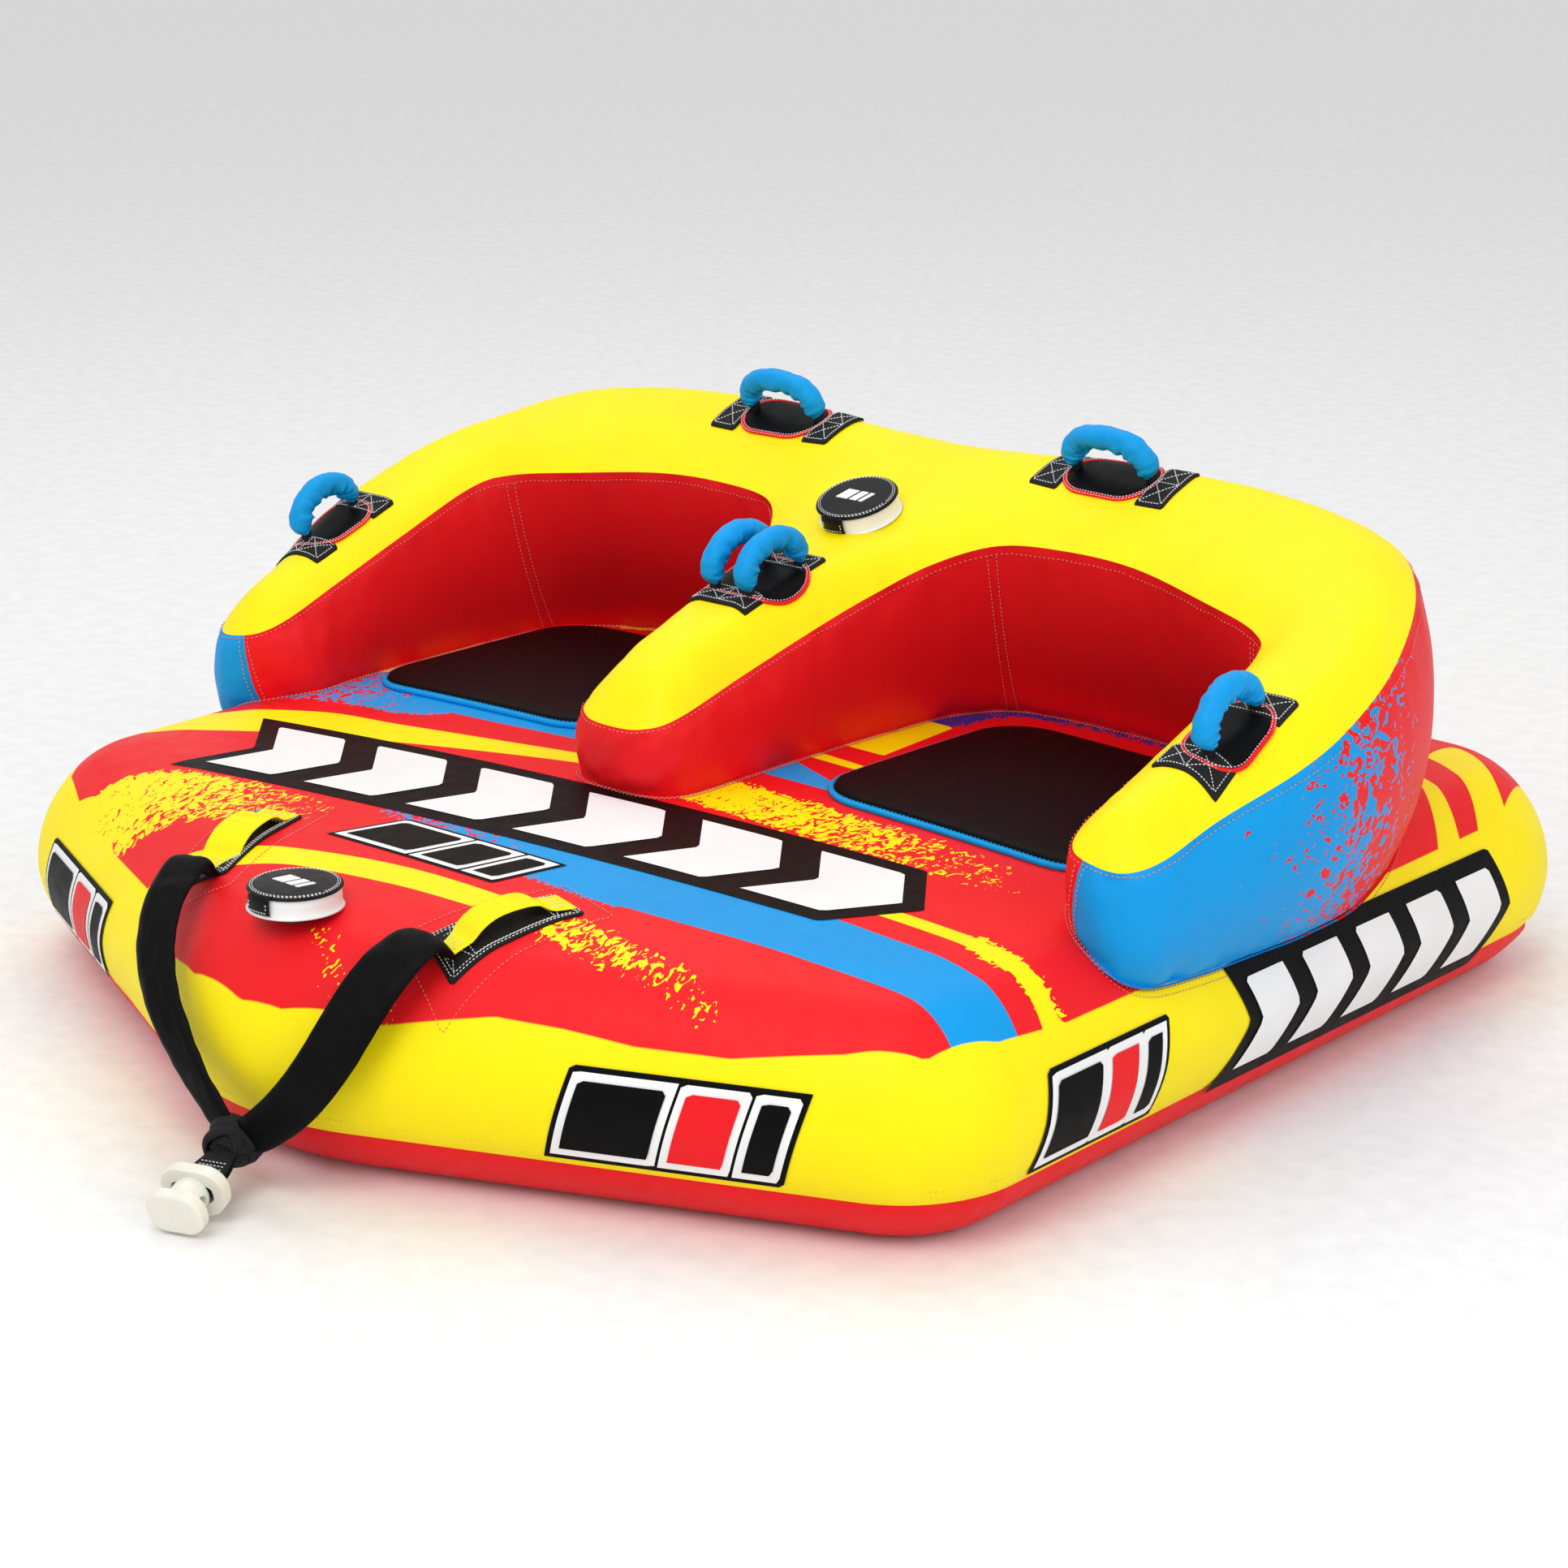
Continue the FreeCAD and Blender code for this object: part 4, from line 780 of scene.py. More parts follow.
# Half of the bolster's outline, from the centre arm's tip round to the dip at the back: where the top seam and the
# foot run in plan (x, y, x, y), and how far the wall swells between them.
HALF_OUTLINE = [
    (0.0, -0.214, 0.0, -0.206, 0.01), (0.046, -0.206, 0.052, -0.2, 0.01), (0.073, -0.17, 0.083, -0.165, 0.01),
    (0.082, -0.06, 0.086, -0.06, 0.012), (0.094, 0.06, 0.086, 0.08, 0.014), (0.11, 0.16, 0.088, 0.21, 0.016),
    (0.138, 0.235, 0.098, 0.33, 0.018), (0.195, 0.296, 0.15, 0.412, 0.02), (0.29, 0.312, 0.28, 0.432, 0.022),
    (0.4, 0.306, 0.42, 0.43, 0.022), (0.523, 0.272, 0.56, 0.402, 0.02), (0.625, 0.236, 0.64, 0.325, 0.018),
    (0.66, 0.19, 0.66, 0.225, 0.016), (0.664, 0.07, 0.66, 0.08, 0.014), (0.664, -0.06, 0.652, -0.04, 0.012),
    (0.664, -0.145, 0.64, -0.115, 0.01), (0.68, -0.184, 0.664, -0.16, 0.008), (0.716, -0.194, 0.7, -0.192, 0.01),
    (0.754, -0.186, 0.738, -0.194, 0.014), (0.779, -0.15, 0.758, -0.16, 0.02), (0.794, -0.07, 0.765, -0.07, 0.026),
    (0.826, 0.035, 0.768, 0.04, 0.032), (0.834, 0.12, 0.77, 0.15, 0.036), (0.818, 0.235, 0.766, 0.27, 0.036),
    (0.764, 0.367, 0.738, 0.39, 0.034), (0.685, 0.455, 0.672, 0.476, 0.03), (0.585, 0.512, 0.58, 0.528, 0.026),
    (0.47, 0.544, 0.47, 0.55, 0.022), (0.35, 0.55, 0.35, 0.554, 0.022), (0.22, 0.538, 0.22, 0.544, 0.022),
    (0.1, 0.518, 0.1, 0.526, 0.02),
]
BACK_DIP = (0.0, 0.51, 0.0, 0.519, 0.02)
SPAN_STEPS = 10
stations = HALF_OUTLINE + [BACK_DIP] + [(-a, b, -c, d, e) for a, b, c, d, e in HALF_OUTLINE[:0:-1]]
bolster = catmull(stations, SPAN_STEPS)
top_loop, foot_loop, swell_by = bolster[:, :2], bolster[:, 2:4], bolster[:, 4]
bolster_normals = normals_of(top_loop)
bolster_along = np.concatenate([[0], np.cumsum(np.linalg.norm(np.diff(top_loop, axis=0), axis=1))])


def seam_height(points):
    """The height of the seam between the bolster's top and its walls."""
    x, y = np.abs(points[:, 0]), points[:, 1]
    inner = 0.4367 + 0.36 * y
    outer = 0.425 + 0.36 * y
    side = smooth_step(0.66, 0.78, x)
    height = inner * (1 - side) + outer * side
    centre = 0.385 + 0.3 * (y + 0.206)
    height = height + (centre - inner) * smooth_step(0.16, 0.1, x) * smooth_step(0.26, 0.1, y)
    return height - smooth_step(0.36, 0.56, y) * (0.36 * (y - 0.36) - 0.012)


def crown_height(points):
    """The height that the bolster's top would reach far from its seams."""
    x, y = np.abs(points[:, 0]), points[:, 1]
    slope = 0.468 + 0.36 * y
    slope = np.minimum(slope, 0.634 + 0.12 * (y - 0.46))
    arm = np.interp(y, [-0.22, -0.17, -0.11, -0.02, 0.26], [0.415, 0.44, 0.47, 0.497, 0.557])
    return slope + (arm - slope) * smooth_step(0.3, 0.16, x) * smooth_step(0.3, 0.2, y)


def top_height(points):
    """The height of the bolster's top at plan points."""
    points = np.asarray(points, float)
    depth, where = distance_to(points, top_loop)
    depth = np.where(is_inside(points, top_loop), depth, 0)
    seam = np.interp(where, np.arange(len(top_loop) + 1), np.append(seam_z, seam_z[:1]))
    reach = 0.062 + 0.05 * smooth_step(0.24, 0.4, points[:, 1])
    t = np.clip(depth / reach, 0, 1)
    return seam + (crown_height(points) - seam) * (1 - (1 - t) ** 2.1)


seam_z = seam_height(top_loop)


def bolster_top():
    """The bolster's yellow top panel, with creases along its seam."""
    plan, triangles = fill(top_loop, 0.008)
    heights = top_height(plan)
    depth, where = distance_to(plan, top_loop)
    along = np.column_stack([np.interp(where, np.arange(len(top_loop)), bolster_along), depth])
    points = lift(plan, heights)
    up = np.tile((0.0, 0.0, 1.0), (len(points), 1))
    fade = np.exp(-depth / 0.022) * smooth_step(0.0, 0.006, depth)
    points = wrinkle(points, up, along, 0.0042, fade)
    points[:, 2] += waves(points, 0.16, 3) * 0.0025 * smooth_step(0.0, 0.03, depth)
    piece = add_mesh("bolster_top", points, triangles, YELLOW_CLOTH)
    join_close(piece)
    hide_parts("bolster_top_panel")


WALL_STEPS = 26


def wall_points(first, last):
    """Rings of a wall panel from the deck to the top seam, for the stations from first to last."""
    which = np.arange(first, last + 1) % len(top_loop)
    foot = lift(foot_loop[which], deck_height(foot_loop[which]) - 0.001)
    top = lift(top_loop[which], seam_z[which])
    chord = top - foot
    outward = np.column_stack([bolster_normals[which], np.zeros(len(which))])
    lean = (chord * outward).sum(1)
    rise = chord[:, 2]
    face = outward * rise[:, None] - np.array((0, 0, 1.0)) * lean[:, None]
    face /= np.linalg.norm(face, axis=1)[:, None]
    rings = []
    hem = foot + outward * 0.008 + np.array((0, 0, 0.0012))
    rings.append(hem)
    for k in range(WALL_STEPS + 1):
        v = k / WALL_STEPS
        swell = swell_by[which] * math.sin(math.pi * v) ** 0.75
        ring = foot + chord * v + face * swell[:, None]
        near = np.minimum(v, 1 - v) * np.abs(rise)
        along = np.column_stack([bolster_along[which], np.full(len(which), v * 0.3)])
        fade = (np.exp(-near / 0.025) + 0.18) * smooth_step(0.0, 0.008, near)
        rings.append(wrinkle(ring, face, along, 0.0056, fade))
    return rings, face


def station_near(x, y):
    """The station of the bolster's outline nearest to a plan point."""
    return int(np.argmin(np.hypot(top_loop[:, 0] - x, top_loop[:, 1] - y)))


bolster_top()
count = len(top_loop)
(ARM_R, ARM_L), (OUT_R, OUT_L), (IN_R, IN_L) = (
    (station_near(x, y), station_near(-x, y)) for x, y in ((0.7, -0.194), (0.627, 0.235), (0.184, 0.29)))


def panel_between(name, start, end, material, slot, *nodes):
    """The wall from one station forward to another, going round the outline."""
    end = end if end > start else end + count
    rings, _ = wall_points(start, end)
    piece = add_mesh(name, np.vstack(rings), ring_faces(len(rings), end - start + 1, closed=False), material)
    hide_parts(*nodes)
    return piece


outer_wall = panel_between("outer_wall", ARM_R, ARM_L, OUTER_PRINT, "outer_wall_print", "bolster_wall_outer")
for name, start, end, node in (("arm_wall_right", OUT_R, ARM_R, "bolster_wall_arm_right"),
                               ("backrest_right", IN_R, OUT_R, "bolster_backrest_right"),
                               ("centre_arm_wall", IN_L, IN_R, "bolster_wall_centre_arm"),
                               ("backrest_left", OUT_L, IN_L, "bolster_backrest_left"),
                               ("arm_wall_left", ARM_L, OUT_L, "bolster_wall_arm_left")):
    panel_between(name, start, end, RED_CLOTH, "red_cloth", node)


def make_bolster_bag():
    """The bladder inside the bolster, close under its walls and top."""
    foot = lift(foot_loop - bolster_normals * 0.008, deck_height(foot_loop) + 0.003)
    top = lift(top_loop - bolster_normals * 0.008, seam_z - 0.004)
    rings = [foot + (top - foot) * v for v in np.linspace(0, 1, 6)]
    points = np.vstack(rings)
    faces = ring_faces(len(rings), count)
    faces += end_caps(len(rings), count)
    bag = add_mesh("bolster_bag", points, faces, BLADDER)
    join_close(bag)
    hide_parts("bolster_bladder")


make_bolster_bag()


def print_wall(piece):
    """Blue from the arm's front, breaking up into red flecks and gone before the back."""
    _, y, height = points_of(piece).T
    share = 1.18 - 1.25 * np.clip((y + 0.085 - 0.25 * (0.42 - height)) / 0.44, 0, 1)
    give_value(piece, "blue_share", np.where(share < 0, -1.0, share))


print_wall(outer_wall)

full_rings, full_face = wall_points(0, count - 1)


WALL_STITCH_OFF = 0.0011


def wall_spot(station, v):
    """A point on the bolster's wall and its normal, from the station and the share of the wall's height."""
    i0 = int(math.floor(station))
    t = station - i0
    k = 1 + v * WALL_STEPS
    k0 = min(int(k), WALL_STEPS)
    tk = k - k0
    spots = []
    for i in (i0 % count, (i0 + 1) % count):
        spots.append(full_rings[k0][i] * (1 - tk) + full_rings[k0 + 1][i] * tk)
    normal = full_face[i0 % count] * (1 - t) + full_face[(i0 + 1) % count] * t
    return spots[0] * (1 - t) + spots[1] * t + normal * WALL_STITCH_OFF, normal


def station_step(station):
    """The plan length of one station's step round the outline."""
    i = int(station) % count
    return np.linalg.norm(top_loop[(i + 1) % count] - top_loop[i]) + 1e-6


vertical_rows = []
for station in (OUT_R, IN_R, OUT_L, IN_L, ARM_R, ARM_L):
    for gap in (-0.006, 0.006):
        at = station + gap / station_step(station)
        spots = [wall_spot(at, v) for v in np.linspace(0.03, 0.97, 50)]
        vertical_rows.append(spots_row(spots))
stitches("panel_seam_stitches", vertical_rows, RED_THREAD)

foot_rows = []
for gap in (0.0035, 0.0075):
    path = lift(foot_loop + bolster_normals * gap, deck_height(foot_loop + bolster_normals * gap) + 0.0012)
    foot_rows.append(closed_row(path, (0, 0, 1.0)))
stitches("foot_seam_stitches", foot_rows, RED_THREAD)

spots = [wall_spot(i, 0.965) for i in range(0, count, 2)]
stitches("top_seam_stitches", [spots_row(spots + spots[:1])], RED_THREAD, pitch=0.0068)

# ---------------------------------------------------------------- printed marks: plain chevrons and stripes


MARK_SPACING, PRINT_LAYER = 0.01, 0.0006


def plan_mark(name, corners, material, layer):
    """A printed shape on the deck, as a skin a hair above the cloth."""
    plan, triangles = fill(facing_up(drawn(corners, False)), MARK_SPACING)
    add_mesh(name, lift(plan, deck_height(plan) + PRINT_LAYER * layer), triangles, material)


def grown(corners, margin):
    """An outline of straight sides moved outwards by a margin."""
    points = facing_up(np.array(corners, float))
    out = []
    for i in range(len(points)):
        before, here, after = points[i - 1], points[i], points[(i + 1) % len(points)]
        a = (here - before) / np.linalg.norm(here - before)
        b = (after - here) / np.linalg.norm(after - here)
        na, nb = np.array((a[1], -a[0])), np.array((b[1], -b[0]))
        bisector = (na + nb) / max(1.0 + na @ nb, 0.35)
        out.append(tuple(here + bisector * margin))
    return out


def chevron(start, width, tip):
    """An arrowhead strip across a band whose width is 1."""
    return [(start, 0.0), (start + width, 0.0), (start + width + tip, 0.5), (start + width, 1.0), (start, 1.0),
            (start + tip, 0.5)]


def across_band(shape, low, high):
    """A shape drawn on a band, laid between the band's lower and upper lines."""
    low, high = np.array(low, float), np.array(high, float)
    return [tuple((low[0] + (low[1] - low[0]) * u) * (1 - v) + (high[0] + (high[1] - high[0]) * u) * v)
            for u, v in shape]


BAND_LOW, BAND_HIGH = ((-0.475, -0.245), (0.505, -0.152)), ((-0.52, -0.09), (0.5, -0.004))
for index in range(6):
    shape = across_band(chevron(0.01 + 0.163 * index, 0.11, 0.05), BAND_LOW, BAND_HIGH)
    plan_mark(f"deck_chevron_edge_{index}", grown(shape, 0.024), INK, 1 + 0.1 * index)
    plan_mark(f"deck_chevron_{index}", shape, WHITE_INK, 2.4)

SMALL_LOW, SMALL_HIGH = ((-0.125, -0.328), (0.145, -0.322)), ((-0.12, -0.262), (0.14, -0.256))
STRIPES = ((0.02, 0.36), (0.46, 0.22), (0.76, 0.12))
for index, (start, width) in enumerate(STRIPES):
    shape = across_band([(start, 0.0), (start + width, 0.0), (start + width + 0.08, 1.0), (start + 0.08, 1.0)],
                        SMALL_LOW, SMALL_HIGH)
    plan_mark(f"small_stripe_rim_{index}", grown(shape, 0.013), INK, 1 + 0.1 * index)
    plan_mark(f"small_stripe_edge_{index}", grown(shape, 0.008), WHITE_INK, 2 + 0.1 * index)
    plan_mark(f"small_stripe_{index}", shape, INK, 3)


def side_mark(name, corners, material, off):
    """A printed shape on the side, drawn by how far round and how high it is."""
    plan, triangles = fill(facing_up(resample(np.array(corners, float), MARK_SPACING)), MARK_SPACING)
    add_mesh(name, [side_point(s, z, off)[0] for s, z in plan], triangles, material)


def along_of(x, y):
    """How far round the base's outline the point nearest to a plan point is."""
    return float(distance_to([(x, y)], base_loop)[1][0]) * BASE_SPACING


for group, start in {"side_right": along_of(0.79, -0.005), "side_left": along_of(-0.79, 0.575)}.items():
    low, high = ((start, 0.082), (start + 0.58, 0.074)), ((start + 0.02, 0.186), (start + 0.6, 0.182))
    for index in range(5):
        shape = across_band(chevron(0.195 * index, 0.13, 0.058), low, high)
        side_mark(f"{group}_edge_{index}", grown(shape, 0.02), INK, 0.0015 + 0.0001 * index)
        side_mark(f"{group}_chevron_{index}", shape, WHITE_INK, 0.0026)

MARK_PLACES = {"front_right": (along_of(0.372, -0.69), 0.28), "front_left": (along_of(-0.66, -0.566), 0.28),
               "edge_right": (along_of(0.79, -0.37), 0.22), "edge_left": (along_of(-0.79, -0.15), 0.22),
               "stern_right": (along_of(0.6, 0.822), 0.2), "stern_left": (along_of(-0.4, 0.822), 0.2)}
for group, (start, size) in MARK_PLACES.items():
    low, high = ((start, 0.092), (start + size, 0.092)), ((start + 0.024, 0.172), (start + size + 0.024, 0.172))
    for index, (left, width) in enumerate(STRIPES):
        shape = across_band([(left, 0.0), (left + width, 0.0), (left + width, 1.0), (left, 1.0)], low, high)
        side_mark(f"{group}_rim_{index}", grown(shape, 0.015), INK, 0.0014 + 0.0001 * index)
        side_mark(f"{group}_edge_{index}", grown(shape, 0.009), WHITE_INK, 0.0022 + 0.0001 * index)
        side_mark(f"{group}_stripe_{index}", shape, RED_CLOTH if index == 1 else INK, 0.0032)

# ---------------------------------------------------------------- things laid on the cloth


class Spot:
    """A place on a sloping surface with its own flat axes; plan shapes are laid on the cloth below it."""

    def __init__(self, x, y, turn, height, tilt, level):
        self.x, self.y, self.turn = x, y, turn
        self.height = height
        self.tilt = tilt
        self.level = level

    def plan(self, points):
        """Where points of the spot's own plane lie in plan."""
        points = np.atleast_2d(np.asarray(points, float))
        c, s = math.cos(self.turn), math.sin(self.turn)
        across = points[:, 0] * c - points[:, 1] * s
        along = points[:, 0] * s + points[:, 1] * c
        return np.column_stack([self.x + across, self.y + along * math.cos(self.tilt)])

    def laid(self, points, off):
        """The same points dropped on the cloth, and raised off it."""
        plan = self.plan(points)
        return lift(plan, self.height(plan) + off)

    def solid(self, points):
        """Points of the spot's own space: across, along and off the surface."""
        points = np.atleast_2d(np.asarray(points, float))
        c, s = math.cos(self.turn), math.sin(self.turn)
        across = points[:, 0] * c - points[:, 1] * s
        along = points[:, 0] * s + points[:, 1] * c
        ct, st = math.cos(self.tilt), math.sin(self.tilt)
        return np.column_stack([self.x + across, self.y + along * ct - points[:, 2] * st,
                                self.level + along * st + points[:, 2] * ct])


def rounded_plan(half_x, half_y, radius, spacing=0.004):
    """A rectangle with rounded corners."""
    return rounded([(half_x, half_y, radius), (-half_x, half_y, radius), (-half_x, -half_y, radius),
                    (half_x, -half_y, radius)], 8, spacing)


def laid_pad(name, spot, outline, thick, crown_by, material, nodes, edge=0.0035, spacing=0.007):
    """A pad lying on the cloth: crowned on top, rounded at the edge and closed below."""
    inner = outline - normals_of(outline) * edge
    plan, triangles = fill(inner, spacing)
    depth = distance_to(plan, inner)[0]
    bulge = thick + crown_by * np.clip(depth / (0.4 * max(np.ptp(outline[:, 0]), 1e-3)), 0, 1) ** 0.6
    top = spot.laid(plan, bulge)
    rings = [spot.laid(inner, 0.0002), spot.laid(outline, 0.0004), spot.laid(outline, thick * 0.55),
             spot.laid(outline - normals_of(outline) * edge * 0.35, thick * 0.88)]
    around = len(outline)
    points = np.vstack(rings + [top])
    faces = ring_faces(len(rings), around)
    start = len(rings) * around
    last = start - around
    faces += [(last + j, last + (j + 1) % around, start + (j + 1) % around, start + j) for j in range(around)]
    faces += [[start + i for i in t] for t in triangles]
    faces.append(list(range(around))[::-1])
    piece = add_mesh(name, points, faces, material)
    join_close(piece)
    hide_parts(*nodes)
    return piece


def tube(name, path, radius, material, ups=None, flat=1.0):
    """A round or flattened cord along a closed line of points."""
    n, sides = len(path), 10
    ups = np.tile((0.0, 0.0, 1.0), (n, 1)) if ups is None else ups
    points = []
    for i in range(n):
        ahead = path[(i + 1) % n] - path[i - 1]
        ahead = ahead / (np.linalg.norm(ahead) + 1e-12)
        side = np.cross(ahead, ups[i])
        side /= np.linalg.norm(side) + 1e-12
        up = np.cross(side, ahead)
        for k in range(sides):
            angle = 2 * math.pi * k / sides
            points.append(path[i] + side * radius * math.cos(angle) + up * radius * flat * math.sin(angle))
    faces = []
    for i in range(n):
        for k in range(sides):
            m = (k + 1) % sides
            faces.append((i * sides + k, i * sides + m, ((i + 1) % n) * sides + m, ((i + 1) % n) * sides + k))
    piece = add_mesh(name, points, faces, material)
    join_close(piece, 1e-7)
    return piece


DECK_TOP = 0.288
SLOPE_RISE, SLOPE_LEVEL = 0.36, 0.468
CROWN_LEVEL, CROWN_FRONT = 0.497, -0.02


def on_deck(x, y, turn=0.0):
    """A spot on the base's deck."""
    return Spot(x, y, turn, deck_height, 0.0, DECK_TOP)


SLOPE = math.atan(SLOPE_RISE)
CROWN_SLOPE = math.atan((0.553 - CROWN_LEVEL) / 0.28)


def on_slope(x, y, turn=0.0):
    """A spot on the bolster's top, which rises evenly towards the back."""
    return Spot(x, y, turn, top_height, SLOPE, SLOPE_LEVEL + SLOPE_RISE * y)


def on_crown(x, y):
    """A spot on the centre arm's flatter top."""
    return Spot(x, y, 0.0, top_height, CROWN_SLOPE, CROWN_LEVEL + math.tan(CROWN_SLOPE) * (y - CROWN_FRONT))


# ---------------------------------------------------------------- seats

SIDES = (("right", 1), ("left", -1))
SEAT_INSIDE, SEAT_OUTSIDE, SEAT_FRONT, SEAT_BACK, SEAT_CORNER = 0.184, 0.617, -0.057, 0.345, 0.075
for name, side in SIDES:
    spot = on_deck(side * (SEAT_INSIDE + SEAT_OUTSIDE) / 2, (SEAT_BACK + SEAT_FRONT) / 2)
    outline = rounded_plan((SEAT_OUTSIDE - SEAT_INSIDE) / 2, (SEAT_BACK - SEAT_FRONT) / 2, SEAT_CORNER, 0.006)
    pad = laid_pad(f"seat_{name}", spot, outline, 0.012, 0.006, SEAT_CLOTH, [f"seat_pad_{name}"], 0.006,
                   0.011)
    edge = spot.laid(outline + normals_of(outline) * 0.0028, 0.0035)
    cord = tube(f"seat_edge_{name}", edge, 0.0042, BLUE_PIPING)
    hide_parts(f"seat_piping_{name}")
    row = spot.laid(outline + normals_of(outline) * 0.0022, 0.008)
    stitches(f"seat_stitches_{name}", [closed_row(row, (0, 0, 1.0))],
             BLUE_PIPING, pitch=0.006, width=0.0009)

# ---------------------------------------------------------------- grips, strips and knuckle pads

STRIP_WIDTH, STRIP_THICK, PAD_THICK, PAD_WIDTH = 0.043, 0.0042, 0.003, 0.078
CENTRE_GRIPS_Y, CENTRE_GRIP_X, CENTRE_STRIP_STEP = 0.057, 0.028, 0.0575
GRIP_RADIUS, GRIP_END_RADIUS, GRIP_FOOT, GRIP_RISE = 0.0155, 0.0062, 0.0108, 0.058


def grip_path(chord):
    """The middle line of a grip in its own space: up from one end, over and down to the other."""
    half, height = chord / 2, GRIP_RISE
    stations = [(-half, GRIP_FOOT), (-half - 0.001, 0.021), (-half + 0.005, 0.039), (-half + 0.024, height - 0.005),
                (0.0, height), (half - 0.024, height - 0.005), (half - 0.005, 0.039), (half + 0.001, 0.021),
                (half, GRIP_FOOT)]
    return open_spline(np.array([stations[0]] + stations + [stations[-1]], float), 9)


def make_grip(name, spot, chord, seed):
    """A foam-filled nylon sleeve, gathered at its ends and creased inside its bends."""
    line = grip_path(chord)
    n, sides = len(line), 28
    ahead = np.gradient(line, axis=0)
    ahead /= np.linalg.norm(ahead, axis=1)[:, None]
    bend = np.gradient(np.unwrap(np.arctan2(ahead[:, 1], ahead[:, 0])))
    bend = np.abs(bend) / (np.abs(bend).max() + 1e-9)
    points = []
    for i in range(n):
        u = i / (n - 1)
        end = min(u, 1 - u) * 2
        full = smooth_step(0.0, 0.34, end)
        radius = GRIP_END_RADIUS + (GRIP_RADIUS - GRIP_END_RADIUS) * full
        wide = 1.0 + 0.3 * (1 - full)
        out = np.array((-ahead[i, 1], ahead[i, 0]))
        for k in range(sides):
            angle = 2 * math.pi * k / sides
            inner = 0.5 - 0.5 * math.sin(angle)
            fold = noise.noise(Vector((u * 26 + seed, math.cos(angle) * 0.9, math.sin(angle) * 0.9 + seed)))
            gather = noise.noise(Vector((angle * 3.0 + seed, u * 6, 2.0))) * (1 - full)
            r = radius * (1 + 0.34 * fold * inner * (0.35 + bend[i]) + 0.22 * gather + 0.09 * fold)
            spread = math.cos(angle) * r * wide
            rise = math.sin(angle) * r * (1 if full > 0.99 else 0.55 + 0.45 * full)
            points.append((spread, line[i, 0] + out[0] * rise, line[i, 1] + out[1] * rise))
    placed = spot.solid(np.array(points))
    faces = ring_faces(n, sides) + end_caps(n, sides)
    body = f"grip_{name}"
    sleeve = add_mesh(f"grip_sleeve_{name}", placed, faces, BLUE_NYLON, body)
    join_close(sleeve, 1e-7)
    soften(sleeve)
    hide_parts(f"grip_{name}", f"grip_webbing_{name}")
    for index, foot in enumerate((line[0], line[-1])):
        gap = np.linalg.norm(spot.solid((0.0, foot[0], foot[1]))[0] - spot.laid(np.array([(0.0, foot[0])]), 0.0)[0])
        tab = rounded_plan(0.0062, 0.0052, 0.002, 0.002) + np.array((0.0, foot[0]))
        laid_pad(f"grip_tab_{name}_{index}", spot, tab, gap + 0.0022, 0.0, BLACK_WEBBING, [],
                 0.0004, 0.003)


def box_stitch(spot, half_x, half_y, off):
    """The border, middle line and crosses sewn through a webbing end."""
    a, b = half_x - 0.004, half_y - 0.004
    lines = [[(-a, -b), (a, -b)], [(a, -b), (a, b)], [(a, b), (-a, b)], [(-a, b), (-a, -b)], [(0, -b), (0, b)],
             [(-a, -b), (0, b)], [(-a, b), (0, -b)], [(0, -b), (a, b)], [(0, b), (a, -b)]]
    out = []
    for start, end in lines:
        out.append(row_of(spot.laid(straight(start, end), off), spot.up))
    return out


def make_strip(name, spot, long, wide, nodes=()):
    """A short webbing laid across a grip's end and sewn down with crosses."""
    spot.up = np.array((0.0, -math.sin(spot.tilt), math.cos(spot.tilt)))
    outline = rounded_plan(long / 2, wide / 2, 0.002, 0.005)
    laid_pad(name, spot, outline, STRIP_THICK, 0.0, BLACK_WEBBING, nodes, 0.0008, 0.007)
    rows = box_stitch(spot, long / 2, wide / 2, STRIP_THICK + 0.0005)
    stitches(name + "_stitches", rows, THREAD, pitch=0.0044, length=0.0034)


def make_knuckle_pad(name, spot, width, length, radius, pad_nodes, binding_nodes):
    """A thin neoprene pad under a grip, bound in red with two rows of stitches."""
    outline = rounded_plan(width / 2, length / 2, radius, 0.004)
    pad = laid_pad(f"knuckle_{name}", spot, outline, PAD_THICK, 0.0012, SEAT_CLOTH, pad_nodes,
                   0.0015, 0.006)
    out = normals_of(outline)
    up = np.array((0.0, -math.sin(spot.tilt), math.cos(spot.tilt)))
    rim = spot.laid(outline + out * 0.0022, 0.0022)
    edge = tube(f"knuckle_edge_{name}", rim, 0.0036, RED_BINDING, ups=np.tile(up, (len(rim), 1)), flat=0.62)
    if binding_nodes:
        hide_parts(*binding_nodes)
    rows = []
    for gap in (0.001, 0.0048):
        rows.append(closed_row(spot.laid(outline + out * gap, 0.0046 - 0.12 * abs(gap - 0.0022)), up))
    stitches(f"knuckle_stitches_{name}", rows, THREAD, pitch=0.0044, length=0.003, width=0.0008)


QUARTER = math.pi / 2
for side_name, side in SIDES:
    for kind, x, y, turn, chord, at, seed in (("arm", 0.752, 0.011, 0.0, 0.092, 0.059, 1.3),
                                              ("rear", 0.277, 0.428, QUARTER, 0.116, 0.083, 4.1)):
        name = f"{kind}_{side_name}"
        spot = on_slope(side * x, y, turn)
        make_grip(name, spot, chord, seed + side)
        for index, step in enumerate((-at, at)):
            place = spot.solid((0.0, step, 0.0))[0]
            inward = side * (0.012, 0.006)[index] if kind == "arm" else 0.0
            strip_spot = on_slope(place[0] - inward, place[1], turn)
            make_strip(f"strip_{name}_{index}", strip_spot, 0.088, STRIP_WIDTH,
                       [f"grip_strips_{name}"] if index == 0 else [])
    make_grip(f"centre_{side_name}", on_crown(side * CENTRE_GRIP_X, CENTRE_GRIPS_Y), 0.098, 7.7 + side)
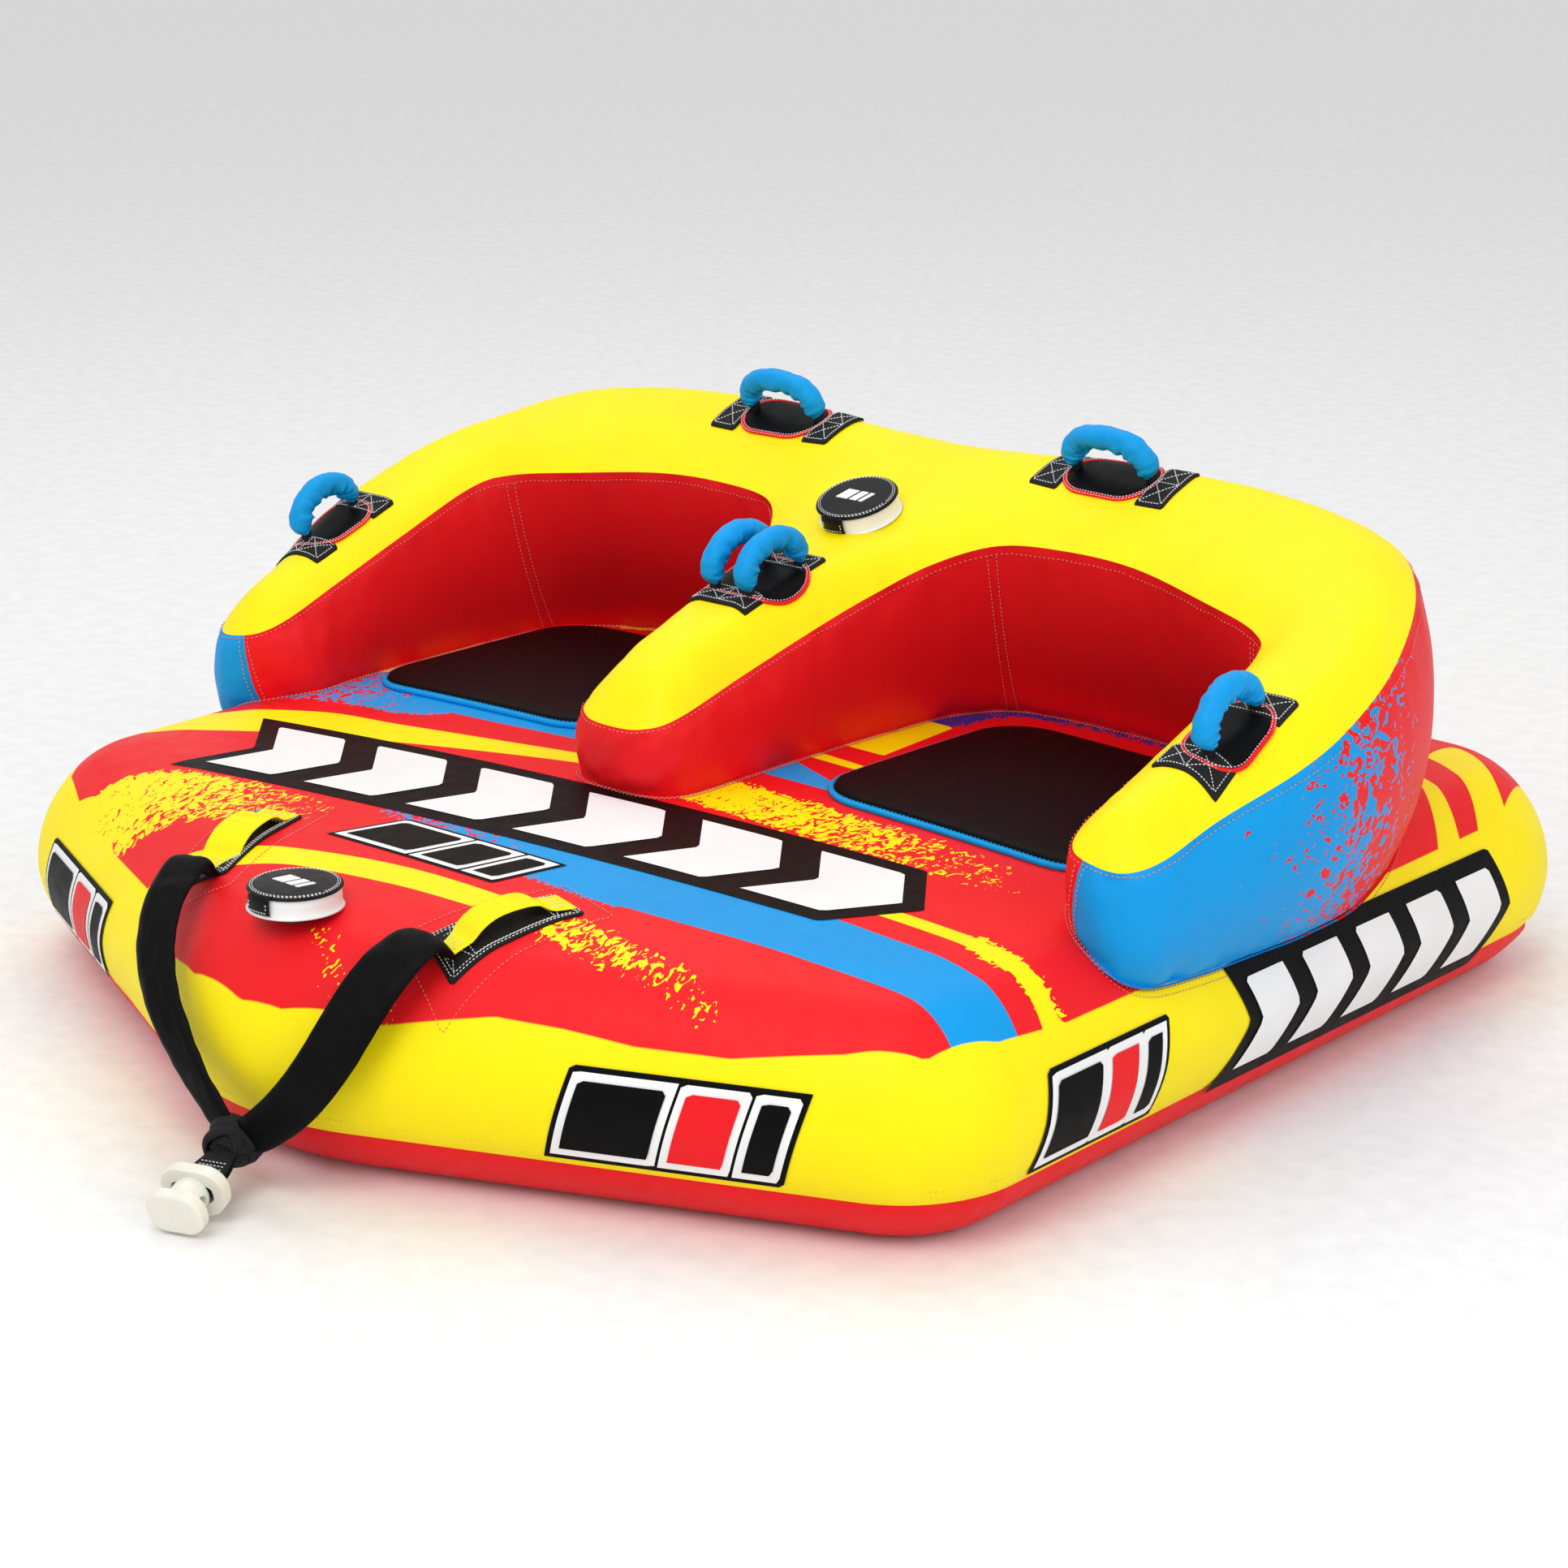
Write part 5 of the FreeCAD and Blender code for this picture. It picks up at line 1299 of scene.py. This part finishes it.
for index, step in enumerate((-CENTRE_STRIP_STEP, CENTRE_STRIP_STEP)):
    place = on_crown(0.0, CENTRE_GRIPS_Y).solid((0.0, step, 0.0))[0]
    make_strip(f"strip_centre_{index}", on_crown(place[0], place[1]), 0.096, STRIP_WIDTH,
               ["grip_strips_centre"] if index == 0 else [])
for side_name, side in SIDES:
    first = side > 0
    make_knuckle_pad(f"arm_{side_name}", on_slope(side * 0.747, 0.011), PAD_WIDTH, 0.112, 0.038,
                     [f"knuckle_pad_arm_{side_name}"], ["pad_binding_arms"] if first else [])
    make_knuckle_pad(f"rear_{side_name}", on_slope(side * 0.277, 0.428, QUARTER), PAD_WIDTH, 0.13, 0.038,
                     [f"knuckle_pad_rear_{side_name}"], ["pad_binding_rears"] if first else [])
make_knuckle_pad("centre", on_crown(0.0, CENTRE_GRIPS_Y), 0.126, 0.104, 0.048, ["knuckle_pad_centre"],
                 ["pad_binding_centre"])

# ---------------------------------------------------------------- valves


TURNED_SIDES = 64


def disc_rings(spot, profile):
    """Rings of a turned shape: radius and height for each."""
    points = []
    for radius, height in profile:
        angle = np.arange(TURNED_SIDES) * 2 * math.pi / TURNED_SIDES
        points.append(spot.solid(np.column_stack([radius * np.cos(angle), radius * np.sin(angle),
                                                  np.full(TURNED_SIDES, height)])))
    return np.vstack(points)


def turned(name, spot, profile, material, body=HULL, closed=False):
    """A turned piece: capped at both ends, or closed from its last ring back to its first."""
    points = disc_rings(spot, profile)
    rings = len(profile)
    faces = ring_faces(rings, TURNED_SIDES)
    if closed:
        last = (rings - 1) * TURNED_SIDES
        faces += [(last + k, last + (k + 1) % TURNED_SIDES, (k + 1) % TURNED_SIDES, k) for k in range(TURNED_SIDES)]
    else:
        faces += end_caps(rings, TURNED_SIDES)
    piece = add_mesh(name, points, faces, material, body)
    join_close(piece, 1e-7)
    return piece


FLAP_HALF, FLAP_FACE = 0.017, 0.0576
BADGE_LEFT, BADGE_LENGTH, BADGE_HALF, BADGE_LEAN, BADGE_FOOT, BADGE_TOP = -0.027, 0.050, 0.011, 0.006, 0.0262, 0.0288


def make_valve(name, spot):
    """A collar on the hull, and a lid with its pull flap, stitches and plain badge on the lid's own body."""
    collar = turned(f"valve_collar_{name}", spot, [
        (0.056, 0.0004), (0.054, 0.0022), (0.0522, 0.0035), (0.0524, 0.012), (0.0518, 0.0208), (0.0512, 0.022),
        (0.0502, 0.022), (0.0498, 0.0205), (0.05, 0.002), (0.05, 0.0004)], WHITE_VINYL, closed=True)
    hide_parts(f"valve_cover_{name}")
    body = f"valve_lid_{name}"
    top = turned(f"valve_top_{name}", spot, [
        (0.044, 0.0226), (0.0535, 0.0226), (0.0545, 0.0236), (0.0538, 0.025), (0.05, 0.0259), (0.04, 0.0268),
        (0.02, 0.0276), (0.002, 0.0278)], BLACK_VINYL, body)
    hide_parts(f"valve_lid_{name}")
    stations = [(0.044, 0.0262), (0.052, 0.0256), (0.056, 0.0236), (0.0566, 0.019), (0.0566, 0.008),
                (0.055, 0.0046)]
    path = []
    for radius, height in stations:
        for across in np.linspace(-FLAP_HALF, FLAP_HALF, 9):
            along = -math.sqrt(max(radius ** 2 - across ** 2, 0))
            path.append((across, along, height))
    flap = add_mesh(f"valve_flap_{name}", spot.solid(np.array(path)), ring_faces(len(stations), 9, closed=False),
                    BLACK_VINYL, body)
    solidify(flap, 0.0016, 0.0)
    outward = spot.solid((0, -1.0, 0))[0] - spot.solid((0, 0, 0))[0]
    edge = FLAP_HALF - 0.003
    lines = [[(across, z) for z in (0.019, 0.014, 0.008)] for across in (-edge, edge)]
    lines.append([(across, 0.0078) for across in np.linspace(-edge, edge, 8)])
    rows = [row_of(spot.solid(np.array([(x, -math.sqrt(FLAP_FACE ** 2 - x ** 2), z) for x, z in line])), outward)
            for line in lines]
    stitches(f"valve_flap_stitches_{name}", rows, THREAD, body, pitch=0.004, length=0.0029, width=0.0009)
    rings = []
    for radius, height in ((0.0505, 0.0264), (0.048, 0.0268)):
        angle = np.linspace(0, 2 * math.pi, 90)
        path = spot.solid(np.column_stack([radius * np.cos(angle), radius * np.sin(angle), np.full(90, height)]))
        rings.append(row_of(path, spot.solid((0, 0, 1.0))[0] - spot.solid((0, 0, 0))[0]))
    stitches(f"valve_lid_stitches_{name}", rings, THREAD, body, pitch=0.0048, length=0.0034, width=0.0008)
    for index, (left, width) in enumerate(STRIPES):
        x0, x1 = BADGE_LEFT + left * BADGE_LENGTH, BADGE_LEFT + (left + width) * BADGE_LENGTH
        corners = [(x0, -BADGE_HALF), (x1, -BADGE_HALF), (x1 + BADGE_LEAN, BADGE_HALF), (x0 + BADGE_LEAN, BADGE_HALF)]
        low, high = (spot.solid(np.array([(a, b, level) for a, b in corners])) for level in (BADGE_FOOT, BADGE_TOP))
        faces = [(0, 1, 2, 3)[::-1], (4, 5, 6, 7)] + [(k, (k + 1) % 4, 4 + (k + 1) % 4, 4 + k) for k in range(4)]
        badge = add_mesh(f"valve_badge_{name}_{index}", np.vstack([low, high]), faces, WHITE_INK, body, False)
        bevel(badge, 0.0005)


VALVE_SPOTS = {"base": on_deck(0.0, -0.719), "bolster": on_slope(0.0, 0.258)}
for name, spot in VALVE_SPOTS.items():
    make_valve(name, spot)

# ---------------------------------------------------------------- tow harness


def ribbon(name, path, ups, widths, thick, material, belly=0.0, seed=0.0, crease=0.0):
    """A flat strap along points: rounded edges, a little belly, and creases across it."""
    path, ups = np.asarray(path, float), np.asarray(ups, float)
    n = len(path)
    widths = np.broadcast_to(widths, n)
    section = []
    for t in np.linspace(-1, 1, 13):
        section.append((t, 0.5 * (1 - abs(t) ** 6) + 0.12))
    section = section + [(t, -h) for t, h in section[::-1]]
    points = []
    run = np.concatenate([[0], np.cumsum(np.linalg.norm(np.diff(path, axis=0), axis=1))])
    for i in range(n):
        a, b = path[max(i - 1, 0)], path[min(i + 1, n - 1)]
        ahead = (b - a) / (np.linalg.norm(b - a) + 1e-12)
        side = np.cross(ahead, ups[i])
        side /= np.linalg.norm(side)
        up = np.cross(side, ahead)
        for across, level in section:
            wave = noise.noise(Vector((run[i] * 55 + seed, across * 1.6, seed)))
            wave += 0.6 * noise.noise(Vector((run[i] * 14 + seed, across * 4.0, seed + 5)))
            height = level * thick + belly * (1 - across ** 2) + crease * wave
            points.append(path[i] + side * across * widths[i] / 2 + up * height)
    sides = len(section)
    faces = ring_faces(n, sides) + end_caps(n, sides)
    piece = add_mesh(name, points, faces, material)
    join_close(piece, 1e-7)
    return piece


def open_curve(stations, per_span):
    """A smooth open curve through rows of numbers."""
    rows = np.asarray(stations, float)
    return open_spline(np.vstack([2 * rows[0] - rows[1], rows, 2 * rows[-1] - rows[-2]]), per_span)


PATCH_TURN, PATCH_X, PATCH_Y = math.radians(16.2), 0.2215, -0.611
PATCH_HALF_WIDTH, PATCH_HALF_LENGTH = 0.034, 0.084
for name, side in SIDES:
    spot = on_deck(side * PATCH_X, PATCH_Y, -side * PATCH_TURN)
    spot.up = np.array((0.0, 0.0, 1.0))
    laid_pad(f"harness_patch_{name}", spot, rounded_plan(PATCH_HALF_WIDTH, PATCH_HALF_LENGTH, 0.004, 0.006), 0.0032,
             0.0, BLACK_WEBBING, [f"tow_patch_{name}"], 0.001, 0.008)
    rows = []
    for inset in (0.003, 0.0065):
        ring = rounded_plan(PATCH_HALF_WIDTH - inset, PATCH_HALF_LENGTH - inset, 0.003, 0.006)
        rows.append(closed_row(spot.laid(ring, 0.004), spot.up))
    for start, end in (((-0.029, -0.078), (0.029, -0.052)), ((0.029, -0.078), (-0.029, -0.052)),
                       ((-0.029, 0.078), (0.029, 0.052)), ((0.029, 0.078), (-0.029, 0.052)),
                       ((-0.029, -0.05), (0.029, -0.05)), ((-0.029, 0.05), (0.029, 0.05)),
                       ((-0.023, -0.05), (-0.023, 0.05)), ((0.027, -0.05), (0.027, 0.05))):
        rows.append(row_of(spot.laid(straight(start, end), 0.0042), spot.up))
    stitches(f"tow_patch_stitches_{name}", rows, THREAD, pitch=0.0048, length=0.0036)
    frame_line = rounded_plan(0.056, 0.108, 0.004, 0.006)
    path = spot.laid(frame_line, 0.0009)
    stitches(f"tow_backing_stitches_{name}", [closed_row(path, spot.up)], RED_THREAD, pitch=0.0062)
    profile = open_curve([(-0.08, 0.0042), (-0.066, 0.0044), (-0.05, 0.006), (-0.036, 0.015), (-0.018, 0.0205),
                          (0.01, 0.02), (0.034, 0.0165), (0.05, 0.0075), (0.066, 0.0048), (0.08, 0.0044)], 8)
    base = spot.laid(np.column_stack([np.full(len(profile), -0.004 * side), profile[:, 0]]), 0.0)
    base[:, 2] += profile[:, 1]
    loop = ribbon(f"tow_loop_{name}", base, np.tile(spot.up, (len(base), 1)), 0.05, 0.0026, YELLOW_WEBBING)
    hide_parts(f"tow_webbing_{name}")
    rows = []
    for low, high in ((0, 14), (len(base) - 15, len(base) - 1)):
        for across in (-0.017, -0.0055, 0.0055, 0.017):
            line = base[low:high] + np.array((math.cos(spot.turn) * across, math.sin(spot.turn) * across, 0.0024))
            rows.append(row_of(line, spot.up))
    stitches(f"tow_loop_stitches_{name}", rows, THREAD, pitch=0.005, length=0.0036, width=0.0009)

ROUTES = {
    "right": [(0.196, -0.706, 0.292), (0.191, -0.736, 0.282), (0.184, -0.768, 0.256), (0.174, -0.797, 0.219),
              (0.162, -0.819, 0.181), (0.143, -0.837, 0.143), (0.114, -0.848, 0.108), (0.078, -0.856, 0.078)],
    "left": [(-0.196, -0.706, 0.292), (-0.187, -0.736, 0.282), (-0.171, -0.772, 0.26), (-0.144, -0.806, 0.224),
             (-0.107, -0.831, 0.187), (-0.063, -0.846, 0.149), (-0.021, -0.855, 0.115), (0.018, -0.859, 0.084)],
}
KNOT = np.array((0.045, -0.86, 0.06))
KNOT_HALF = (0.030, 0.027, 0.0235)
KNOT_TURNS = ((0.25, -0.004, 0.0295, 0.023), (-0.35, 0.008, 0.027, 0.020), (0.95, 0.0, 0.0265, 0.018))
for name, route in ROUTES.items():
    side = 1 if name == "right" else -1
    start = on_deck(side * PATCH_X, PATCH_Y, -side * PATCH_TURN).laid(np.array([(0.0, -0.08)]), 0.0085)[0]
    stations = np.vstack([start, route, KNOT + (0.01 * side, 0.004, 0.006)])
    line = open_curve(stations, 9)
    last = len(line) - 1
    u = np.arange(last + 1) / last
    tilt = math.pi / 2 * np.clip(1.4 * (u - 0.08), 0, 1)
    lean, full_width = (0.55, 0.072) if name == "right" else (0.0, 0.058)
    ups = np.column_stack([lean * np.sin(tilt), -np.sin(tilt), np.cos(tilt)])
    widths = full_width * (1 - 0.42 * u ** 2.2) * (0.9 + 0.1 * smooth_step(0.0, 0.08, u))
    strap = ribbon(f"harness_sleeve_{name}", line, ups, widths, 0.0085, SEAT_CLOTH, belly=0.0015, seed=side * 2.0,
                   crease=0.0016)
    soften(strap)
    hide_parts(f"tow_sleeve_{name}")

HEADING, PITCH = math.radians(19.6), math.radians(14.0)
turn = Matrix.Rotation(HEADING, 3, "Z") @ Matrix.Rotation(PITCH, 3, "X")
ahead = np.array(turn @ Vector((0, -1, 0)))
spool_up = np.array(turn @ Vector((0, 0, 1)))
spool_side = np.array(turn @ Vector((1, 0, 0)))
EYE_DISTANCE, TAIL_LOOP_RADIUS = 0.086, 0.0064


def make_knot():
    """A thumb knot in the webbing: three rounded turns over a lump, all folded and creased."""
    points, rings, sides = [], 22, 34
    for i in range(rings):
        polar = math.pi * (i + 0.5) / rings
        for k in range(sides):
            angle = 2 * math.pi * k / sides
            way = np.array((math.sin(polar) * math.cos(angle), math.cos(polar), math.sin(polar) * math.sin(angle)))
            fold = noise.noise(Vector((way[0] * 2.2, way[1] * 5.5, way[2] * 2.2)))
            fold += 0.5 * noise.noise(Vector((way[0] * 6, way[1] * 9, way[2] * 6)))
            r = 1 + 0.16 * fold
            points.append(KNOT + (spool_side * way[0] * KNOT_HALF[0] - ahead * way[1] * KNOT_HALF[1]
                                  + spool_up * way[2] * KNOT_HALF[2]) * r)
    faces = ring_faces(rings, sides) + end_caps(rings, sides)
    lump = add_mesh("tow_knot_lump", points, faces, BLACK_WEBBING)
    join_close(lump, 1e-7)
    soften(lump)
    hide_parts("tow_knot")
    for index, (lean, shift, size, wide) in enumerate(KNOT_TURNS):
        path, ups = [], []
        for angle in np.linspace(0, 2 * math.pi, 49):
            out = spool_side * math.cos(angle) + spool_up * math.sin(angle) * 0.82
            out = out * math.cos(lean * math.cos(angle)) + ahead * math.sin(lean * math.cos(angle)) * 0.9
            path.append(KNOT + ahead * shift + out * size)
            ups.append(out)
        wrap = ribbon(f"tow_knot_turn_{index}", path, ups, wide, 0.0052, BLACK_WEBBING, belly=0.0022, seed=index * 3.0,
                      crease=0.0016)
        soften(wrap)


make_knot()

# The tail strap runs over the connector's bar and back, so its line in the connector's plane is a long loop.
upper = [(0.014, 0.002), (0.03, 0.0036), (0.05, 0.0036), (0.068, 0.0036), (0.079, 0.005)]
around_bar = [(EYE_DISTANCE + TAIL_LOOP_RADIUS * math.sin(a), TAIL_LOOP_RADIUS * math.cos(a))
              for a in np.linspace(0.0, math.pi, 9)]
lower = [(d, -h) for d, h in upper[::-1]]
tail_profile = open_curve(upper + around_bar + lower, 5)
tail_line = KNOT + ahead * tail_profile[:, :1] + spool_up * tail_profile[:, 1:]
tangent = np.gradient(tail_profile, axis=0)
tangent /= np.linalg.norm(tangent, axis=1)[:, None]
tail_ups = spool_up * tangent[:, 0:1] - ahead * tangent[:, 1:2]
tail_width = 0.03 + 0.015 * smooth_step(0.014, 0.06, tail_profile[:, 0])
tail_piece = ribbon("tow_tail_webbing", tail_line, tail_ups, tail_width, 0.0024, BLACK_WEBBING, seed=9.0,
                    crease=0.0005)
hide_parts("tow_tail")
rows = []
for distance in (0.046, 0.052, 0.058):
    line = [KNOT + ahead * distance + spool_up * 0.0051 + spool_side * x for x in np.linspace(-0.017, 0.017, 12)]
    rows.append(row_of(line, spool_up))
stitches("tow_tail_stitches", rows, THREAD, pitch=0.0046, length=0.0034, width=0.0009)

# ---------------------------------------------------------------- zipper across the stern


ZIP_HALF, TAPE_HALF, TOOTH_PITCH = 0.350, 0.017, 0.0026


def make_zipper():
    """A coil zipper on woven tape, sewn to the middle of the stern."""
    half, middle, rear = ZIP_HALF, THICKNESS / 2 + 0.012, BASE_REAR
    points = []
    for z in np.linspace(-TAPE_HALF, TAPE_HALF, 9):
        for x in np.linspace(-half, half, 141):
            ripple = 0.0006 * noise.noise(Vector((x * 40, z * 60, 1.0)))
            points.append((x, rear + 0.0012 + ripple - 0.0006 * (abs(z) > 0.016), middle + z))
    tape = add_mesh("zipper_tape", points, ring_faces(9, 141, closed=False), ZIP_TAPE)
    solidify(tape, 0.0014, -1.0)
    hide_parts("zipper")
    points, faces = [], []
    for i, x in enumerate(np.arange(-half + 0.006, half - 0.006, TOOTH_PITCH)):
        way = 1 if i % 2 else -1
        corners = [(x - 0.0009, middle - way * 0.0006), (x + 0.0009, middle - way * 0.0006),
                   (x + 0.0011, middle + way * 0.0026), (x - 0.0011, middle + way * 0.0026)]
        start = len(points)
        points += [(a, rear + 0.001, b) for a, b in corners] + [(a * 0.9999, rear + 0.0034, b) for a, b in corners]
        faces += [(start, start + 1, start + 2, start + 3), (start + 7, start + 6, start + 5, start + 4)]
        faces += [(start + k, start + 4 + k, start + 4 + (k + 1) % 4, start + (k + 1) % 4) for k in range(4)]
    teeth = add_mesh("zipper_coil", points, faces, TEETH, smooth=False)
    join_close(teeth, 1e-7)
    rows = []
    for z in (-0.0135, 0.0135):
        line = np.array([(x, rear + 0.0021, middle + z) for x in np.linspace(-half + 0.002, half - 0.002, 200)])
        rows.append(row_of(line, (0, 1.0, 0)))
    stitches("zipper_stitches", rows, RED_THREAD, pitch=0.0052)
    for index, x in enumerate((-half, half)):
        points = [(x + math.copysign(0.005, x) + a * 0.6, rear + 0.0022 + 0.0006 * (abs(b) < 0.012), middle + b)
                  for b in np.linspace(-0.0185, 0.0185, 9) for a in np.linspace(-0.01, 0.01, 7)]
        stop = add_mesh(f"zipper_end_{index}", points, ring_faces(9, 7, closed=False), BLACK_WEBBING)
        solidify(stop, 0.0018, -1.0)


make_zipper()

# ---------------------------------------------------------------- carried-over CAD pieces

CARRIED = {"tow_connector": MILKY, "zipper_slider": METAL, "zipper_pull": METAL,
           "valve_body_base": VALVE_PLASTIC, "valve_body_bolster": VALVE_PLASTIC,
           "valve_cap_base": VALVE_PLASTIC, "valve_cap_bolster": VALVE_PLASTIC}
for node, material in CARRIED.items():
    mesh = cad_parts[node].data
    mesh.materials.clear()
    mesh.materials.append(material)

# ---------------------------------------------------------------- floor, light and camera

floor_mesh = bpy.data.meshes.new("floor")
FLOOR_HALF, FLOOR_DROP = 30, 0.0005
floor_mesh.from_pydata([(-FLOOR_HALF, -FLOOR_HALF, 0), (FLOOR_HALF, -FLOOR_HALF, 0), (FLOOR_HALF, FLOOR_HALF, 0),
                        (-FLOOR_HALF, FLOOR_HALF, 0)], [], [(0, 1, 2, 3)])
floor_mesh.materials.append(FLOOR)
floor = bpy.data.objects.new("floor", floor_mesh)
bpy.context.scene.collection.objects.link(floor)
floor.location.z = -FLOOR_DROP


LOOK_AT = Vector((0, 0, 0.2))


def area_light(name, location, size, power):
    """A round soft light turned towards the object."""
    data = bpy.data.lights.new(name, "AREA")
    data.shape = "DISK"
    data.size = size
    data.energy = power
    lamp = bpy.data.objects.new(name, data)
    bpy.context.scene.collection.objects.link(lamp)
    lamp.location = location
    lamp.rotation_euler = (LOOK_AT - Vector(location)).to_track_quat("-Z", "Y").to_euler()


area_light("key", (1.2, -3.4, 4.2), 3.0, 88)
area_light("fill", (4.2, -0.6, 2.6), 3.0, 34)
area_light("top", (-1.5, 1.0, 5.0), 4.0, 56)
WORLD_STRENGTH = 0.76
world = bpy.data.worlds.new("studio")
world.use_nodes = True
world.node_tree.nodes["Background"].inputs["Color"].default_value = (1, 1, 1, 1)
world.node_tree.nodes["Background"].inputs["Strength"].default_value = WORLD_STRENGTH
bpy.context.scene.world = world
bpy.context.scene.view_settings.view_transform = "Standard"

SENSOR_WIDTH, LENS, CAMERA_PLACE = 36, 81.5, (2.882, -3.166, 1.632)
camera_data = bpy.data.cameras.new("camera")
camera_data.sensor_width = SENSOR_WIDTH
camera_data.lens = LENS
camera = bpy.data.objects.new("camera", camera_data)
bpy.context.scene.collection.objects.link(camera)
camera.location = CAMERA_PLACE
AZIMUTH, ELEVATION = math.radians(41.36), math.radians(17.811)
back = Vector((math.sin(AZIMUTH) * math.cos(ELEVATION), -math.cos(AZIMUTH) * math.cos(ELEVATION), math.sin(ELEVATION)))
camera.rotation_mode = "QUATERNION"
camera.rotation_quaternion = (-back).to_track_quat("-Z", "Y")
bpy.context.scene.camera = camera
